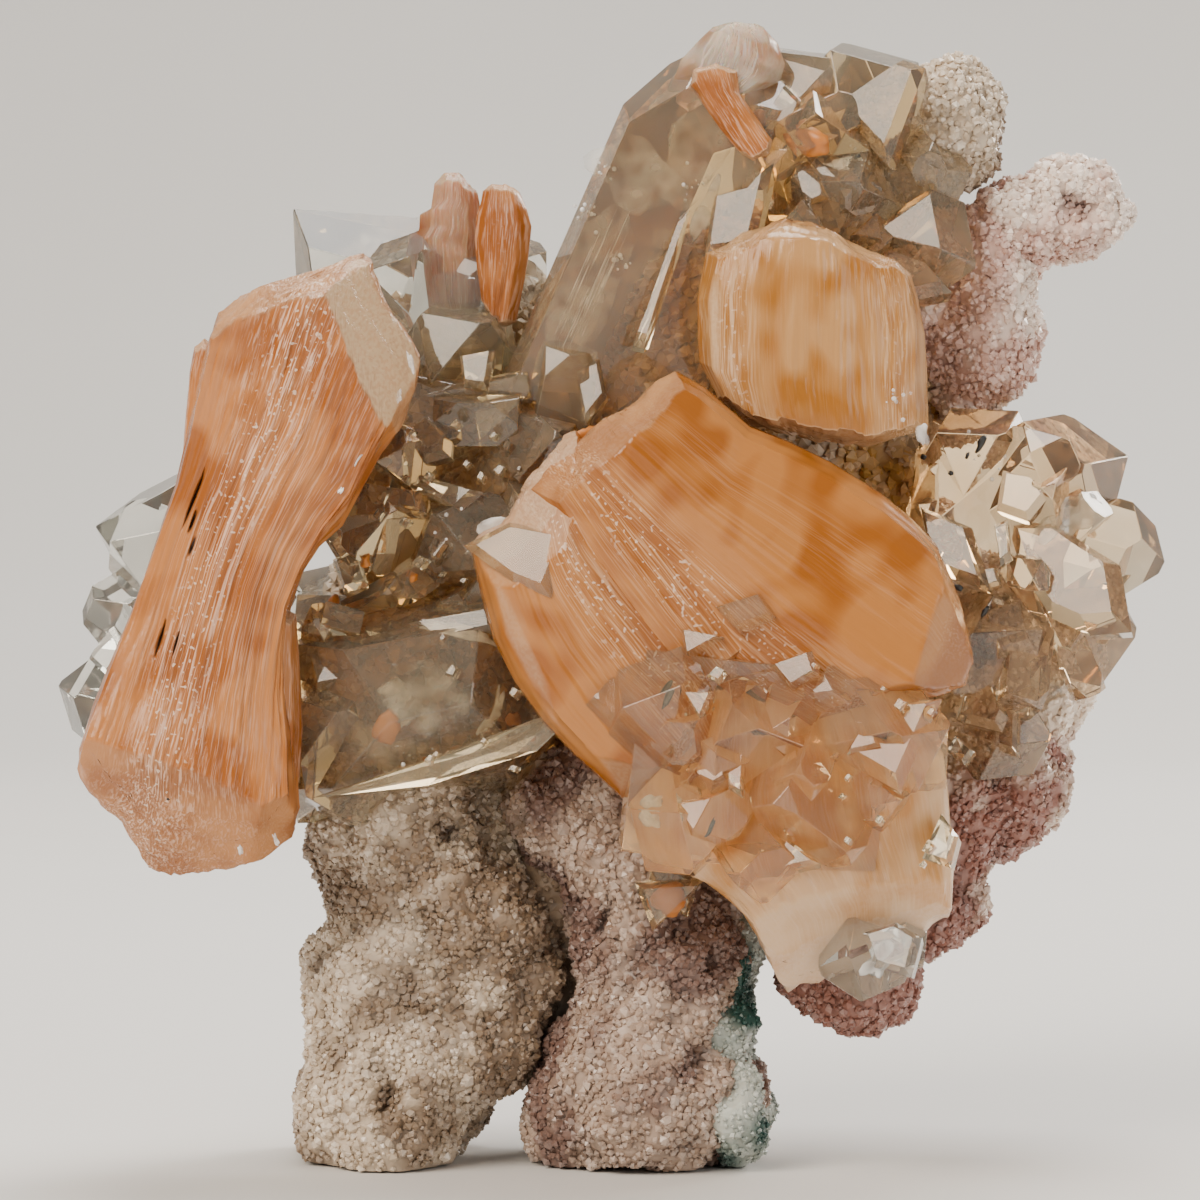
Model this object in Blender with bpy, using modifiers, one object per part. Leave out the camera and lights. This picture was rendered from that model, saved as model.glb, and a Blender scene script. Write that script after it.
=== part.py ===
"""An apophyllite and stilbite cluster on a branching quartz-coated matrix.

The specimen stands on the flat-cut feet of its two legs, with +Z up, +X to the right and the
display side facing -Y. Its origin is under the middle of its box, at the level of the feet.
"""

import math
from collections import namedtuple

import bmesh
import bpy
from mathutils import Matrix, Vector

# Driving dimensions, in metres.
MM = 0.001
GAP = 0.3                      # millimetres of clearance left between grown-together pieces
ROOM = 0.42                    # millimetres that a cutter is larger than its piece, each way
STEM_ROOM = 0.60               # the same for a faceted stem, which is cut by its own facets
STEM_FACET = 4.2 * MM          # facet size of a matrix stem
CORE_FACET = 5.2 * MM          # facet size of the matrix core
DEPTH_SHIFT = 1.26 * MM         # brings the middle of the box over the origin, front to back
SIDE_SHIFT = -0.6 * MM          # the same, left to right

# Apophyllite: a pyramid face drops this much for each unit that it cuts in from the corner.
PYRAMID_SLOPE = 1.2

Crystal = namedtuple("Crystal", "middle size aim spin cut")
Sheaf = namedtuple("Sheaf", "middle length waist ends aim spin dome bend")
Blob = namedtuple("Blob", "middle radii")

# Everything below is in millimetres: x to the right, y away from the viewer, z up.
# A crystal is its middle, (width, depth, length), c axis, turn about that axis in degrees,
# and how far its corners are cut back at the tips, from 0 (a box) to 1 (a point).
CRYSTALS = {
    "apophyllite_large": [
        Crystal((7.4, 3, 94.2), (20, 17, 40), (0.40, 0.05, 0.915), 6, 0.75),
    ],
    "apophyllite_cluster_upper_right": [
        Crystal((25.4, 5, 103), (13, 13, 17), (0.25, -0.15, 0.95), 40, 0.5),
        Crystal((20, 4, 102), (10, 10, 19), (0.1, -0.1, 0.99), 20, 0.6),
        Crystal((29, 5, 98), (10, 10, 13), (0.5, -0.4, 0.75), 10, 0.5),
        Crystal((24, 1, 96), (9, 9, 13), (-0.1, -0.7, 0.7), 30, 0.5),
        Crystal((29.5, 3, 91), (8, 8, 13), (0.6, -0.5, 0.3), 15, 0.5),
    ],
    "apophyllite_point_upper_left": [
        Crystal((-19.5, 11, 88), (14, 14, 27), (-0.9, -0.1, 0.42), 8, 1.0),
        Crystal((-14, 10, 84), (13, 12, 16), (0.2, -0.3, 0.9), 20, 0.4),
    ],
    "apophyllite_cluster_left": [
        Crystal((-39, 9, 56), (14, 12, 26), (-0.5, -0.1, 0.85), 10, 0.5),
        Crystal((-44.5, 4, 61), (9, 8, 10), (-0.3, -0.5, 0.8), 25, 0.5),
        Crystal((-47, 5, 55), (9, 8, 10), (-0.9, -0.3, 0.2), 10, 0.8),
        Crystal((-46.6, 4, 47.5), (9, 8, 13), (-0.85, -0.3, -0.3), 30, 0.6),
        Crystal((-44, 5, 66), (7, 7, 8), (-0.3, -0.3, 0.9), 0, 0.5),
        Crystal((-31, 11, 50), (13, 13, 18), (0.9, 0.1, 0.2), 20, 0.3),
    ],
    "apophyllite_lower_left": [
        Crystal((-16, -6, 45.5), (18, 15, 19), (0.25, -0.5, 0.83), 25, 0.45),
        Crystal((-25.6, -5, 43.5), (11, 11, 15), (-0.1, -0.6, 0.8), 10, 0.4),
        Crystal((-9.5, -4, 46), (10, 10, 14), (0.8, -0.3, 0.25), 10, 0.6),
    ],
    "apophyllite_cluster_centre": [
        Crystal((-13, 4, 68), (20, 15, 23), (0.1, -0.2, 0.95), 12, 0.4),
        Crystal((-17.5, -5, 72.5), (7, 7, 11), (0.1, -0.8, 0.6), 30, 0.5),
        Crystal((-20.5, -4, 66.5), (7, 7, 11), (-0.3, -0.7, 0.5), 10, 0.5),
        Crystal((-13.5, -6, 65), (8, 7, 12), (0.2, -0.9, 0.3), 20, 0.6),
        Crystal((-8, -4, 70), (8, 8, 12), (0.3, -0.3, 0.9), 40, 0.5),
        Crystal((-4.5, -4, 76), (5.5, 5.5, 11), (0.2, -0.2, 0.95), 15, 0.4),
        Crystal((-13.2, -5.5, 77), (3.4, 3.4, 12), (0.97, -0.1, 0.2), 10, 0.4),
        Crystal((-24, -2, 62), (8, 8, 12), (-0.4, -0.6, 0.4), 15, 0.5),
        Crystal((-18, -6, 60), (9, 8, 12), (-0.1, -0.8, 0.2), 35, 0.5),
        Crystal((-9, -6, 60), (9, 9, 12), (0.3, -0.7, -0.1), 10, 0.5),
        Crystal((-25.5, 1, 70), (9, 9, 12), (-0.5, -0.2, 0.8), 20, 0.6),
        Crystal((-15, 2, 80), (10, 9, 12), (0.1, -0.3, 0.9), 30, 0.5),
    ],
    "apophyllite_cluster_right": [
        Crystal((38, 7, 59), (18, 15, 28), (0.2, -0.1, 0.95), 15, 0.4),
        Crystal((43.5, 0, 64.5), (10, 10, 13), (0.4, -0.6, 0.6), 20, 0.5),
        Crystal((47.3, 2, 59.5), (10, 9, 14), (0.6, -0.5, 0.3), 35, 0.6),
        Crystal((49, 5, 64.5), (8, 8, 11), (0.9, -0.2, 0.3), 10, 0.6),
        Crystal((40.3, 4, 71.5), (10, 10, 12), (0.1, -0.3, 0.95), 25, 0.5),
        Crystal((45.5, 4, 69), (9, 9, 12), (0.6, -0.2, 0.75), 15, 0.5),
        Crystal((34.5, -1, 67), (9, 9, 13), (-0.1, -0.7, 0.5), 10, 0.5),
        Crystal((36.5, -2, 60), (9, 8, 14), (0.1, -0.9, 0.1), 30, 0.5),
        Crystal((41.5, -2, 54), (10, 9, 14), (0.3, -0.8, -0.1), 15, 0.5),
        Crystal((46, 2, 54), (9, 9, 12), (0.7, -0.5, -0.2), 40, 0.5),
        Crystal((37.5, -1, 48), (9, 8, 13), (0.1, -0.8, -0.4), 20, 0.5),
        Crystal((40, 2, 43.5), (8, 8, 12), (0.3, -0.5, -0.7), 10, 0.6),
        Crystal((34.5, 1, 73), (7, 7, 10), (-0.2, -0.3, 0.9), 30, 0.5),
    ],
    "apophyllite_cluster_lower_right": [
        Crystal((15, -20, 42), (24, 9, 20), (0.1, -0.1, 0.99), 4, 0.3),
        Crystal((6.6, -24, 47.5), (9, 8, 11), (-0.3, -0.6, 0.7), 20, 0.5),
        Crystal((15.5, -25, 49.5), (8, 8, 9), (0.1, -0.6, 0.75), 35, 0.5),
        Crystal((24.5, -24, 45.5), (12, 9, 12), (0.4, -0.6, 0.6), 15, 0.5),
        Crystal((17.5, -25, 34.5), (9, 8, 11), (0.1, -0.8, -0.4), 10, 0.6),
        Crystal((9.6, -25, 39.5), (9, 9, 11), (-0.2, -0.8, 0.1), 30, 0.5),
        Crystal((14.5, -27, 43.5), (9, 9, 10), (0.1, -0.9, 0.3), 20, 0.6),
        Crystal((23.5, -25, 38.5), (9, 9, 11), (0.4, -0.8, 0.1), 40, 0.5),
        Crystal((5, -22, 36), (8, 8, 10), (-0.5, -0.6, -0.4), 15, 0.5),
    ],
    "apophyllite_cluster_foot": [
        Crystal((25.5, -14, 20.5), (9, 9, 11), (0.2, -0.6, -0.6), 20, 0.5),
        Crystal((29.2, -13, 22.5), (6, 6, 8), (0.6, -0.6, 0.2), 10, 0.5),
    ],
    "apophyllite_small_point": [
        Crystal((6, -9.5, 28.5), (6, 6, 12), (0.15, -0.5, -0.85), 45, 1.0),
    ],
}

# A stilbite sheaf is its middle, length, half width and half thickness at the waist and at
# the ends, long axis, turn about it in degrees, how far the ends dome, and sideways bend.
SHEAVES = {
    "stilbite_bowtie_left": [
        Sheaf((-35.1, -14, 60), 61, (6.6, 5.5), (11.8, 8.5), (0.214, 0, 0.977), 0, 0.20, -4.0),
    ],
    "stilbite_centre": [
        Sheaf((17, -17, 62), 41, (10.5, 8.0), (12.0, 9.0), (0.82, -0.10, -0.57), 0, 0.35, 0),
        Sheaf((2.5, -13, 57.5), 31, (8.5, 6.5), (10.5, 7.5), (0.50, -0.10, -0.86), 0, 0.25, 0),
    ],
    "stilbite_block_upper": [
        Sheaf((20.8, -9, 83), 24, (10.0, 7.5), (10.8, 8.0), (0.05, -0.15, 0.99), 0, 0.25, 0),
    ],
    "stilbite_fan_lower_right": [
        Sheaf((19, -12, 39), 36, (12.5, 6.0), (14.5, 8.0), (0.30, -0.05, -0.95), 0, 0.40, 0),
    ],
    "stilbite_sheaf_pale": [
        Sheaf((-15, 4, 91), 17, (2.3, 2.2), (3.5, 2.6), (0.04, 0, 1), 0, 0.5, 0),
    ],
    "stilbite_sheaf_orange": [
        Sheaf((-10.4, 1, 89.6), 15, (2.2, 2.0), (3.1, 2.4), (0, 0, 1), 0, 0.5, 0),
    ],
    "stilbite_fan_top": [
        Sheaf((12.4, -1.5, 109), 9.6, (3.6, 2.0), (5.2, 2.6), (0.25, 0, 0.97), 0, 0.4, 0),
    ],
    "stilbite_bowtie_top": [
        Sheaf((12.9, -4.4, 104.3), 9.6, (1.3, 1.3), (2.1, 1.8), (0.55, -0.1, -0.83), 0, 0.2, 0),
    ],
}

# A matrix stem is a string of overlapping rounded masses: middle and three radii.
STEMS = {
    "matrix_core": [
        Blob((-18, 15, 50), (14, 13, 13)),
        Blob((-12, 17, 64), (14, 13, 14)),
        Blob((2, 17, 50), (16, 14, 14)),
        Blob((4, 17, 66), (16, 14, 16)),
        Blob((20, 17, 52), (15, 13, 14)),
        Blob((22, 17, 67), (14, 13, 14)),
        Blob((10, 17, 83), (14, 11, 13)),
        Blob((25, 15, 82), (10, 10, 11)),
        Blob((22, 14, 94), (9, 8, 9)),
        Blob((-13, 17, 79), (11, 9, 9)),
    ],
    "leg_left": [
        Blob((-20, 4, 3), (11.5, 13, 9)),
        Blob((-20.4, 5, 14), (10.4, 12, 10)),
        Blob((-17.5, 6, 26), (10.6, 12, 10)),
        Blob((-18, 8, 36), (11.5, 12, 10)),
    ],
    "leg_centre": [
        Blob((4.6, 2, 3), (11.6, 14, 9)),
        Blob((5.6, 3, 14), (10.4, 13, 10)),
        Blob((4, 5, 26), (10.4, 12, 10)),
        Blob((3, 7, 36), (12, 12, 10)),
    ],
    "lobe_right": [
        Blob((38, 15, 50), (13, 13, 12)),
        Blob((36, 13, 38), (12, 12, 11)),
        Blob((29.5, 9, 27), (10, 11, 9)),
        Blob((24.3, 4, 19), (7, 9, 6.5)),
    ],
    "knob_top_right": [
        Blob((35.2, 9, 104.6), (5.4, 6.5, 6.4)),
        Blob((31, 10, 101), (6, 6.5, 6)),
        Blob((27, 12, 97), (6, 6, 6)),
    ],
    "branch_right": [
        Blob((38, 11, 82), (6, 7, 6.5)),
        Blob((37.5, 11, 89.5), (6.3, 7, 6.5)),
        Blob((31, 13, 88), (7, 7, 8)),
        Blob((43, 10, 94.5), (4.6, 5, 4.6)),
        Blob((47, 10, 97), (4.6, 5, 4.6)),
        Blob((48.8, 10, 94.6), (4.2, 5, 4.2)),
        Blob((36.6, 11, 76), (3, 3.5, 4.5)),
    ],
}

# Colours in linear light, roughness.
ORANGE = ((0.55, 0.22, 0.075), 0.38)
PALE_PEACH = ((0.68, 0.42, 0.25), 0.35)
AMBER = ((0.45, 0.24, 0.10), 0.12)
GREENISH = ((0.36, 0.34, 0.24), 0.08)
CLEAR = ((0.50, 0.52, 0.48), 0.06)
CREAM_DRUSE = ((0.50, 0.40, 0.31), 0.55)
PINK_DRUSE = ((0.42, 0.24, 0.20), 0.55)

FINISHES = {
    "stilbite_bowtie_left": ORANGE,
    "stilbite_centre": ORANGE,
    "stilbite_block_upper": ORANGE,
    "stilbite_fan_lower_right": ORANGE,
    "stilbite_sheaf_pale": PALE_PEACH,
    "stilbite_sheaf_orange": ORANGE,
    "stilbite_fan_top": PALE_PEACH,
    "stilbite_bowtie_top": ORANGE,
    "apophyllite_large": GREENISH,
    "apophyllite_cluster_upper_right": GREENISH,
    "apophyllite_point_upper_left": CLEAR,
    "apophyllite_cluster_left": CLEAR,
    "apophyllite_lower_left": GREENISH,
    "apophyllite_cluster_centre": GREENISH,
    "apophyllite_cluster_right": GREENISH,
    "apophyllite_cluster_lower_right": AMBER,
    "apophyllite_cluster_foot": CLEAR,
    "apophyllite_small_point": AMBER,
    "matrix_core": CREAM_DRUSE,
    "leg_left": CREAM_DRUSE,
    "leg_centre": CREAM_DRUSE,
    "lobe_right": PINK_DRUSE,
    "knob_top_right": CREAM_DRUSE,
    "branch_right": PINK_DRUSE,
}

# The piece named first keeps its whole shape; each later one makes room for those before it.
GROWTH_ORDER = [
    "stilbite_bowtie_left",
    "stilbite_centre",
    "stilbite_block_upper",
    "stilbite_bowtie_top",
    "stilbite_fan_top",
    "stilbite_sheaf_orange",
    "stilbite_sheaf_pale",
    "apophyllite_cluster_lower_right",
    "stilbite_fan_lower_right",
    "apophyllite_cluster_foot",
    "apophyllite_small_point",
    "apophyllite_large",
    "apophyllite_cluster_upper_right",
    "apophyllite_lower_left",
    "apophyllite_cluster_centre",
    "apophyllite_cluster_right",
    "apophyllite_point_upper_left",
    "apophyllite_cluster_left",
    "matrix_core",
    "leg_centre",
    "leg_left",
    "lobe_right",
    "knob_top_right",
    "branch_right",
]


def clear_scene():
    """Remove every object and the collections that held them."""
    for old in list(bpy.data.objects):
        bpy.data.objects.remove(old, do_unlink=True)
    for old in list(bpy.data.collections):
        bpy.data.collections.remove(old)


def new_collection(name):
    """A collection linked to the scene."""
    collection = bpy.data.collections.new(name)
    bpy.context.scene.collection.children.link(collection)
    return collection


def material_for(name):
    """The piece's own Principled material, with its colour and roughness."""
    colour, roughness = FINISHES[name]
    material = bpy.data.materials.new(name)
    material.use_nodes = True
    shader = material.node_tree.nodes["Principled BSDF"]
    shader.inputs["Base Color"].default_value = (*colour, 1.0)
    shader.inputs["Roughness"].default_value = roughness
    shader.inputs["Metallic"].default_value = 0.0
    return material


def turned_to(aim, spin):
    """Rotation that lays local Z along aim, keeps local X across the view, then spins about Z."""
    axis = Vector(aim).normalized()
    across = Vector((0, 1, 0)).cross(axis)
    if across.length < 0.2:
        across = Vector((1, 0, 0))
    across.normalize()
    toward = axis.cross(across).normalized()
    across = toward.cross(axis)
    frame = Matrix((across, toward, axis)).transposed()
    return frame @ Matrix.Rotation(math.radians(spin), 3, "Z")


def place(piece, middle, aim, spin):
    """Put a piece at its middle, in millimetres, with its long axis along aim."""
    x, y, z = middle
    piece.location = Vector((x * MM + SIDE_SHIFT, y * MM + DEPTH_SHIFT, z * MM))
    piece.rotation_mode = "QUATERNION"
    piece.rotation_quaternion = turned_to(aim, spin).to_quaternion()


def object_from(bm, name, collection):
    """Make an object of a bmesh, with its faces turned outwards."""
    bmesh.ops.recalc_face_normals(bm, faces=bm.faces)
    mesh = bpy.data.meshes.new(name)
    bm.to_mesh(mesh)
    bm.free()
    piece = bpy.data.objects.new(name, mesh)
    collection.objects.link(piece)
    return piece


def cut_off(bm, point, normal):
    """Cut a closed bmesh by a plane, drop the side the normal points to, and close the cut."""
    everything = bm.verts[:] + bm.edges[:] + bm.faces[:]
    result = bmesh.ops.bisect_plane(
        bm, geom=everything, plane_co=point, plane_no=normal, clear_outer=True
    )
    rim = [item for item in result["geom_cut"] if isinstance(item, bmesh.types.BMEdge)]
    if rim:
        bmesh.ops.holes_fill(bm, edges=rim, sides=0)


def hull_of(bm):
    """The clean convex hull of a cut crystal's corners."""
    bmesh.ops.remove_doubles(bm, verts=bm.verts, dist=0.01 * MM)
    corners = [vert.co.copy() for vert in bm.verts]
    bm.clear()
    for corner in corners:
        bm.verts.new(corner)
    result = bmesh.ops.convex_hull(bm, input=bm.verts)
    loose = [item for item in result["geom_interior"] if isinstance(item, bmesh.types.BMVert)]
    bmesh.ops.delete(bm, geom=loose, context="VERTS")
    bmesh.ops.dissolve_limit(bm, angle_limit=math.radians(1), verts=bm.verts, edges=bm.edges)
    return bm


def crystal_bmesh(size, cut):
    """An apophyllite: a square prism whose eight corners are cut back by pyramid faces."""
    width, depth, length = (side * MM for side in size)
    bm = bmesh.new()
    bmesh.ops.create_cube(bm, size=1.0)
    bmesh.ops.scale(bm, vec=(width, depth, length), verts=bm.verts)
    drop = PYRAMID_SLOPE * cut * width
    for side_x in (-1, 1):
        for side_y in (-1, 1):
            for end in (-1, 1):
                corner = Vector((side_x * width, side_y * depth, end * length)) / 2
                below = corner - Vector((0, 0, end * drop))
                along_x = corner - Vector((side_x * cut * width, 0, 0))
                along_y = corner - Vector((0, side_y * cut * depth, 0))
                normal = (along_x - below).cross(along_y - below)
                if normal.dot(corner) < 0:
                    normal.negate()
                cut_off(bm, below, normal)
    return hull_of(bm)


def make_crystal(name, crystal, collection):
    """One crystal, placed by its middle, c axis and spin."""
    piece = object_from(crystal_bmesh(crystal.size, crystal.cut), name, collection)
    place(piece, crystal.middle, crystal.aim, crystal.spin)
    return piece


def make_sheaf(name, sheaf, collection):
    """A stilbite sheaf: a gridded box pinched at its waist, with domed, flaring ends."""
    bm = bmesh.new()
    bmesh.ops.create_cube(bm, size=2.0)
    bmesh.ops.subdivide_edges(bm, edges=bm.edges[:], cuts=3, use_grid_fill=True)
    for vert in bm.verts:
        across, through, along = vert.co
        flare = abs(along) ** 1.6
        half_width = sheaf.waist[0] + (sheaf.ends[0] - sheaf.waist[0]) * flare
        half_thick = sheaf.waist[1] + (sheaf.ends[1] - sheaf.waist[1]) * flare
        rounding = 1 - 0.16 * (across * through) ** 2
        dome = 1 - sheaf.dome * (0.75 * across**2 + 0.25 * through**2)
        bend = sheaf.bend * (1 - along**2)
        vert.co = (
            (half_width * across * rounding + bend) * MM,
            half_thick * through * rounding * MM,
            sheaf.length / 2 * along * dome * MM,
        )
    piece = object_from(bm, name, collection)
    place(piece, sheaf.middle, sheaf.aim, sheaf.spin)
    return piece


def make_stem(name, blobs, collection):
    """A matrix stem: rounded masses run together into one skin."""
    bm = bmesh.new()
    for blob in blobs:
        middle = Vector(blob.middle) * MM + Vector((SIDE_SHIFT, DEPTH_SHIFT, 0))
        shape = Matrix.Translation(middle) @ Matrix.Diagonal((*blob.radii, 1000)) * MM
        bmesh.ops.create_uvsphere(bm, u_segments=20, v_segments=12, radius=1.0, matrix=shape)
    piece = object_from(bm, name, collection)
    skin = piece.modifiers.new("skin", "REMESH")
    skin.mode = "VOXEL"
    skin.voxel_size = CORE_FACET if name == "matrix_core" else STEM_FACET
    skin.use_smooth_shade = False
    return piece


def apply_modifiers(piece):
    """Replace the piece's mesh with what its modifiers make of it."""
    bpy.context.view_layer.update()
    depsgraph = bpy.context.evaluated_depsgraph_get()
    mesh = bpy.data.meshes.new_from_object(piece.evaluated_get(depsgraph))
    old = piece.data
    piece.modifiers.clear()
    piece.data = mesh
    bpy.data.meshes.remove(old)


def join_crystals(name, crystals, collection, cutters):
    """Crystals that overlap, joined in one solid by Boolean union."""
    piece = make_crystal(name, crystals[0], collection)
    for number, crystal in enumerate(crystals[1:], start=2):
        other = make_crystal(f"{name}_{number}", crystal, cutters)
        union = piece.modifiers.new(f"join_{number}", "BOOLEAN")
        union.operation = "UNION"
        union.object = other
    return piece


def join_sheaves(name, sheaves, collection, cutters):
    """Sheaves grown through each other, joined in one solid by Boolean union."""
    piece = make_sheaf(name, sheaves[0], collection)
    for number, sheaf in enumerate(sheaves[1:], start=2):
        other = make_sheaf(f"{name}_{number}", sheaf, cutters)
        union = piece.modifiers.new(f"join_{number}", "BOOLEAN")
        union.operation = "UNION"
        union.object = other
    return piece


def room_for_crystals(name, crystals, cutters):
    """Slightly larger copies of a group's crystals, to cut room for them in later pieces."""
    grown = []
    for number, crystal in enumerate(crystals, start=1):
        size = tuple(side + 2 * ROOM for side in crystal.size)
        larger = crystal._replace(size=size)
        grown.append(make_crystal(f"{name}_room_{number}", larger, cutters))
    return grown


def room_for_sheaves(name, sheaves, cutters):
    """Slightly larger copies of a group's sheaves."""
    grown = []
    for number, sheaf in enumerate(sheaves, start=1):
        larger = sheaf._replace(
            length=sheaf.length + 2 * ROOM,
            waist=tuple(half + ROOM for half in sheaf.waist),
            ends=tuple(half + ROOM for half in sheaf.ends),
        )
        grown.append(make_sheaf(f"{name}_room_{number}", larger, cutters))
    return grown


def room_for_stem(piece, cutters):
    """A copy of a stem's skin, swollen along its normals."""
    cutter = bpy.data.objects.new(f"{piece.name}_room", piece.data.copy())
    cutters.objects.link(cutter)
    swell = cutter.modifiers.new("swell", "DISPLACE")
    swell.strength = STEM_ROOM * MM
    swell.mid_level = 0.0
    return [cutter]


def boxes_meet(one, other):
    """Whether the world boxes of two objects come within the gap of each other."""
    corners_one = [one.matrix_world @ Vector(corner) for corner in one.bound_box]
    corners_other = [other.matrix_world @ Vector(corner) for corner in other.bound_box]
    for axis in range(3):
        low_one = min(corner[axis] for corner in corners_one)
        high_one = max(corner[axis] for corner in corners_one)
        low_other = min(corner[axis] for corner in corners_other)
        high_other = max(corner[axis] for corner in corners_other)
        if low_one > high_other + GAP * MM or low_other > high_one + GAP * MM:
            return False
    return True


def make_room(piece, cutters_before):
    """Cut a piece back where the pieces before it already are."""
    bpy.context.view_layer.update()
    for number, cutter in enumerate(cutters_before):
        if not boxes_meet(piece, cutter):
            continue
        room = piece.modifiers.new(f"room_{number}", "BOOLEAN")
        room.operation = "DIFFERENCE"
        room.solver = "MANIFOLD"
        room.object = cutter


def keep_largest(piece):
    """Drop the crumbs that a cut leaves: only the island with the most volume stays."""
    bm = bmesh.new()
    bm.from_mesh(piece.data)
    islands = []
    unseen = set(bm.faces)
    while unseen:
        island = []
        front = [unseen.pop()]
        while front:
            face = front.pop()
            island.append(face)
            for edge in face.edges:
                for neighbour in edge.link_faces:
                    if neighbour in unseen:
                        unseen.discard(neighbour)
                        front.append(neighbour)
        islands.append(island)
    islands.sort(key=lambda island: sum(face.calc_area() for face in island))
    crumbs = [face for island in islands[:-1] for face in island]
    bmesh.ops.delete(bm, geom=crumbs, context="FACES")
    bmesh.ops.triangulate(bm, faces=bm.faces)
    bm.to_mesh(piece.data)
    bm.free()


def cut_foot(piece):
    """Cut a leg off flat at the level of the ground."""
    bm = bmesh.new()
    bm.from_mesh(piece.data)
    cut_off(bm, Vector((0, 0, 0)), Vector((0, 0, -1)))
    bm.to_mesh(piece.data)
    bm.free()


def build():
    """Model every piece in its order of growth."""
    clear_scene()
    parts = new_collection("apophyllite_cluster")
    cutters = new_collection("cutters")
    finished = []
    for name in GROWTH_ORDER:
        if name in SHEAVES:
            piece = join_sheaves(name, SHEAVES[name], parts, cutters)
            room = room_for_sheaves(name, SHEAVES[name], cutters)
        elif name in CRYSTALS:
            piece = join_crystals(name, CRYSTALS[name], parts, cutters)
            room = room_for_crystals(name, CRYSTALS[name], cutters)
        else:
            piece = make_stem(name, STEMS[name], parts)
            apply_modifiers(piece)
            room = room_for_stem(piece, cutters)
        if name in ("leg_left", "leg_centre"):
            cut_foot(piece)
        make_room(piece, finished)
        apply_modifiers(piece)
        keep_largest(piece)
        piece.data.materials.clear()
        piece.data.materials.append(material_for(name))
        finished += room
    for guide in cutters.objects:
        guide.hide_render = True
        guide.display_type = "WIRE"


if __name__ == "__main__":
    build()
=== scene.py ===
import math

import bmesh
import bpy
import numpy as np
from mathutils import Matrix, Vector


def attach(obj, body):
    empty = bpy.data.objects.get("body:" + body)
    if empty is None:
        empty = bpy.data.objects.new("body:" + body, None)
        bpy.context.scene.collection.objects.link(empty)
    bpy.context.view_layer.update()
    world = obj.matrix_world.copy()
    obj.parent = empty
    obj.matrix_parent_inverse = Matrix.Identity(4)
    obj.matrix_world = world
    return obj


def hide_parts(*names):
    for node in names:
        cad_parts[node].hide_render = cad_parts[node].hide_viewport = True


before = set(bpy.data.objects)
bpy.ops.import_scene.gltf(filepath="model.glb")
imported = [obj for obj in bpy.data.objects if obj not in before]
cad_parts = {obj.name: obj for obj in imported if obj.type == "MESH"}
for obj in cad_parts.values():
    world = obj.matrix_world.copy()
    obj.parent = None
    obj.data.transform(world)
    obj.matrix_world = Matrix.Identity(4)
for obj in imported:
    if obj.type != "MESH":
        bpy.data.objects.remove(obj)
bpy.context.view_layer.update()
MM = 0.001


# The matrix: a mass of grey chalcedony that the stems, and every crystal, grew from.
# Quartz coats all of it in a sugary crust of small six-sided points, cream where it is
# clean, brown where iron stains it, and darkened with painted shade in its hollows and pits.

def waves(points, size, seed, count=20):
    """Lumpy noise from about -1 to 1: a sum of plane waves in seeded random directions,
    each one to two lumps long, where size is the width of a lump."""
    rng = np.random.default_rng(seed)
    heading = rng.normal(size=(count, 3))
    heading /= np.linalg.norm(heading, axis=1, keepdims=True)
    pitch = rng.uniform(0.7, 1.5, count) * math.pi / size
    phase = rng.uniform(0, 2 * math.pi, count)
    swing = np.sin(points @ (heading * pitch[:, None]).T + phase)
    return swing.sum(axis=-1) / math.sqrt(count * 1.1)


def lay_mesh(name, points, faces, values=None, smooth=True):
    """A mesh from a point array and face index arrays, one array for each count of corners.
    The values become point attributes, as numbers or as vectors."""
    mesh = bpy.data.meshes.new(name)
    mesh.vertices.add(len(points))
    mesh.vertices.foreach_set("co", np.asarray(points, np.float32).ravel())
    corners = np.concatenate([face.ravel() for face in faces]).astype(np.int32)
    sizes = np.concatenate([np.full(len(face), face.shape[1]) for face in faces])
    starts = np.concatenate([[0], np.cumsum(sizes)[:-1]]).astype(np.int32)
    mesh.loops.add(len(corners))
    mesh.loops.foreach_set("vertex_index", corners)
    mesh.polygons.add(len(sizes))
    mesh.polygons.foreach_set("loop_start", starts)
    mesh.update(calc_edges=True)
    for label, value in (values or {}).items():
        value = np.asarray(value, np.float32)
        if value.ndim == 1:
            mesh.attributes.new(label, "FLOAT", "POINT").data.foreach_set("value", value)
        else:
            data = mesh.attributes.new(label, "FLOAT_VECTOR", "POINT").data
            data.foreach_set("vector", value.ravel())
    if smooth:
        mesh.shade_smooth()
    else:
        mesh.shade_flat()
    return mesh


def place_piece(name, mesh, finish, node=None):
    """Link a finished mesh as a piece that rides on the root and, where a CAD node is given,
    stands for it."""
    piece = bpy.data.objects.new(name, mesh)
    bpy.context.scene.collection.objects.link(piece)
    mesh.materials.clear()
    mesh.materials.append(finish)
    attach(piece, "root")
    if node:
        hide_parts(node)


def closed_faces(rows, around):
    """Faces of a tube of rows of points that shrinks to one point at each end: the points
    are the first pole, the inner rows one after another, then the last pole."""
    row, step = np.meshgrid(np.arange(rows - 3), np.arange(around), indexing="ij")
    ahead = (step + 1) % around
    first = 1 + row * around
    quads = np.stack(
        [first + step, first + ahead, first + around + ahead, first + around + step], -1
    ).reshape(-1, 4)
    here = np.arange(around)
    there = (here + 1) % around
    last_row = 1 + (rows - 3) * around
    low_cap = np.stack([np.zeros(around, int), there + 1, here + 1], -1)
    pole = np.full(around, last_row + around)
    high_cap = np.stack([pole, last_row + here, last_row + there], -1)
    return [quads, np.concatenate([low_cap, high_cap])]


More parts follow.
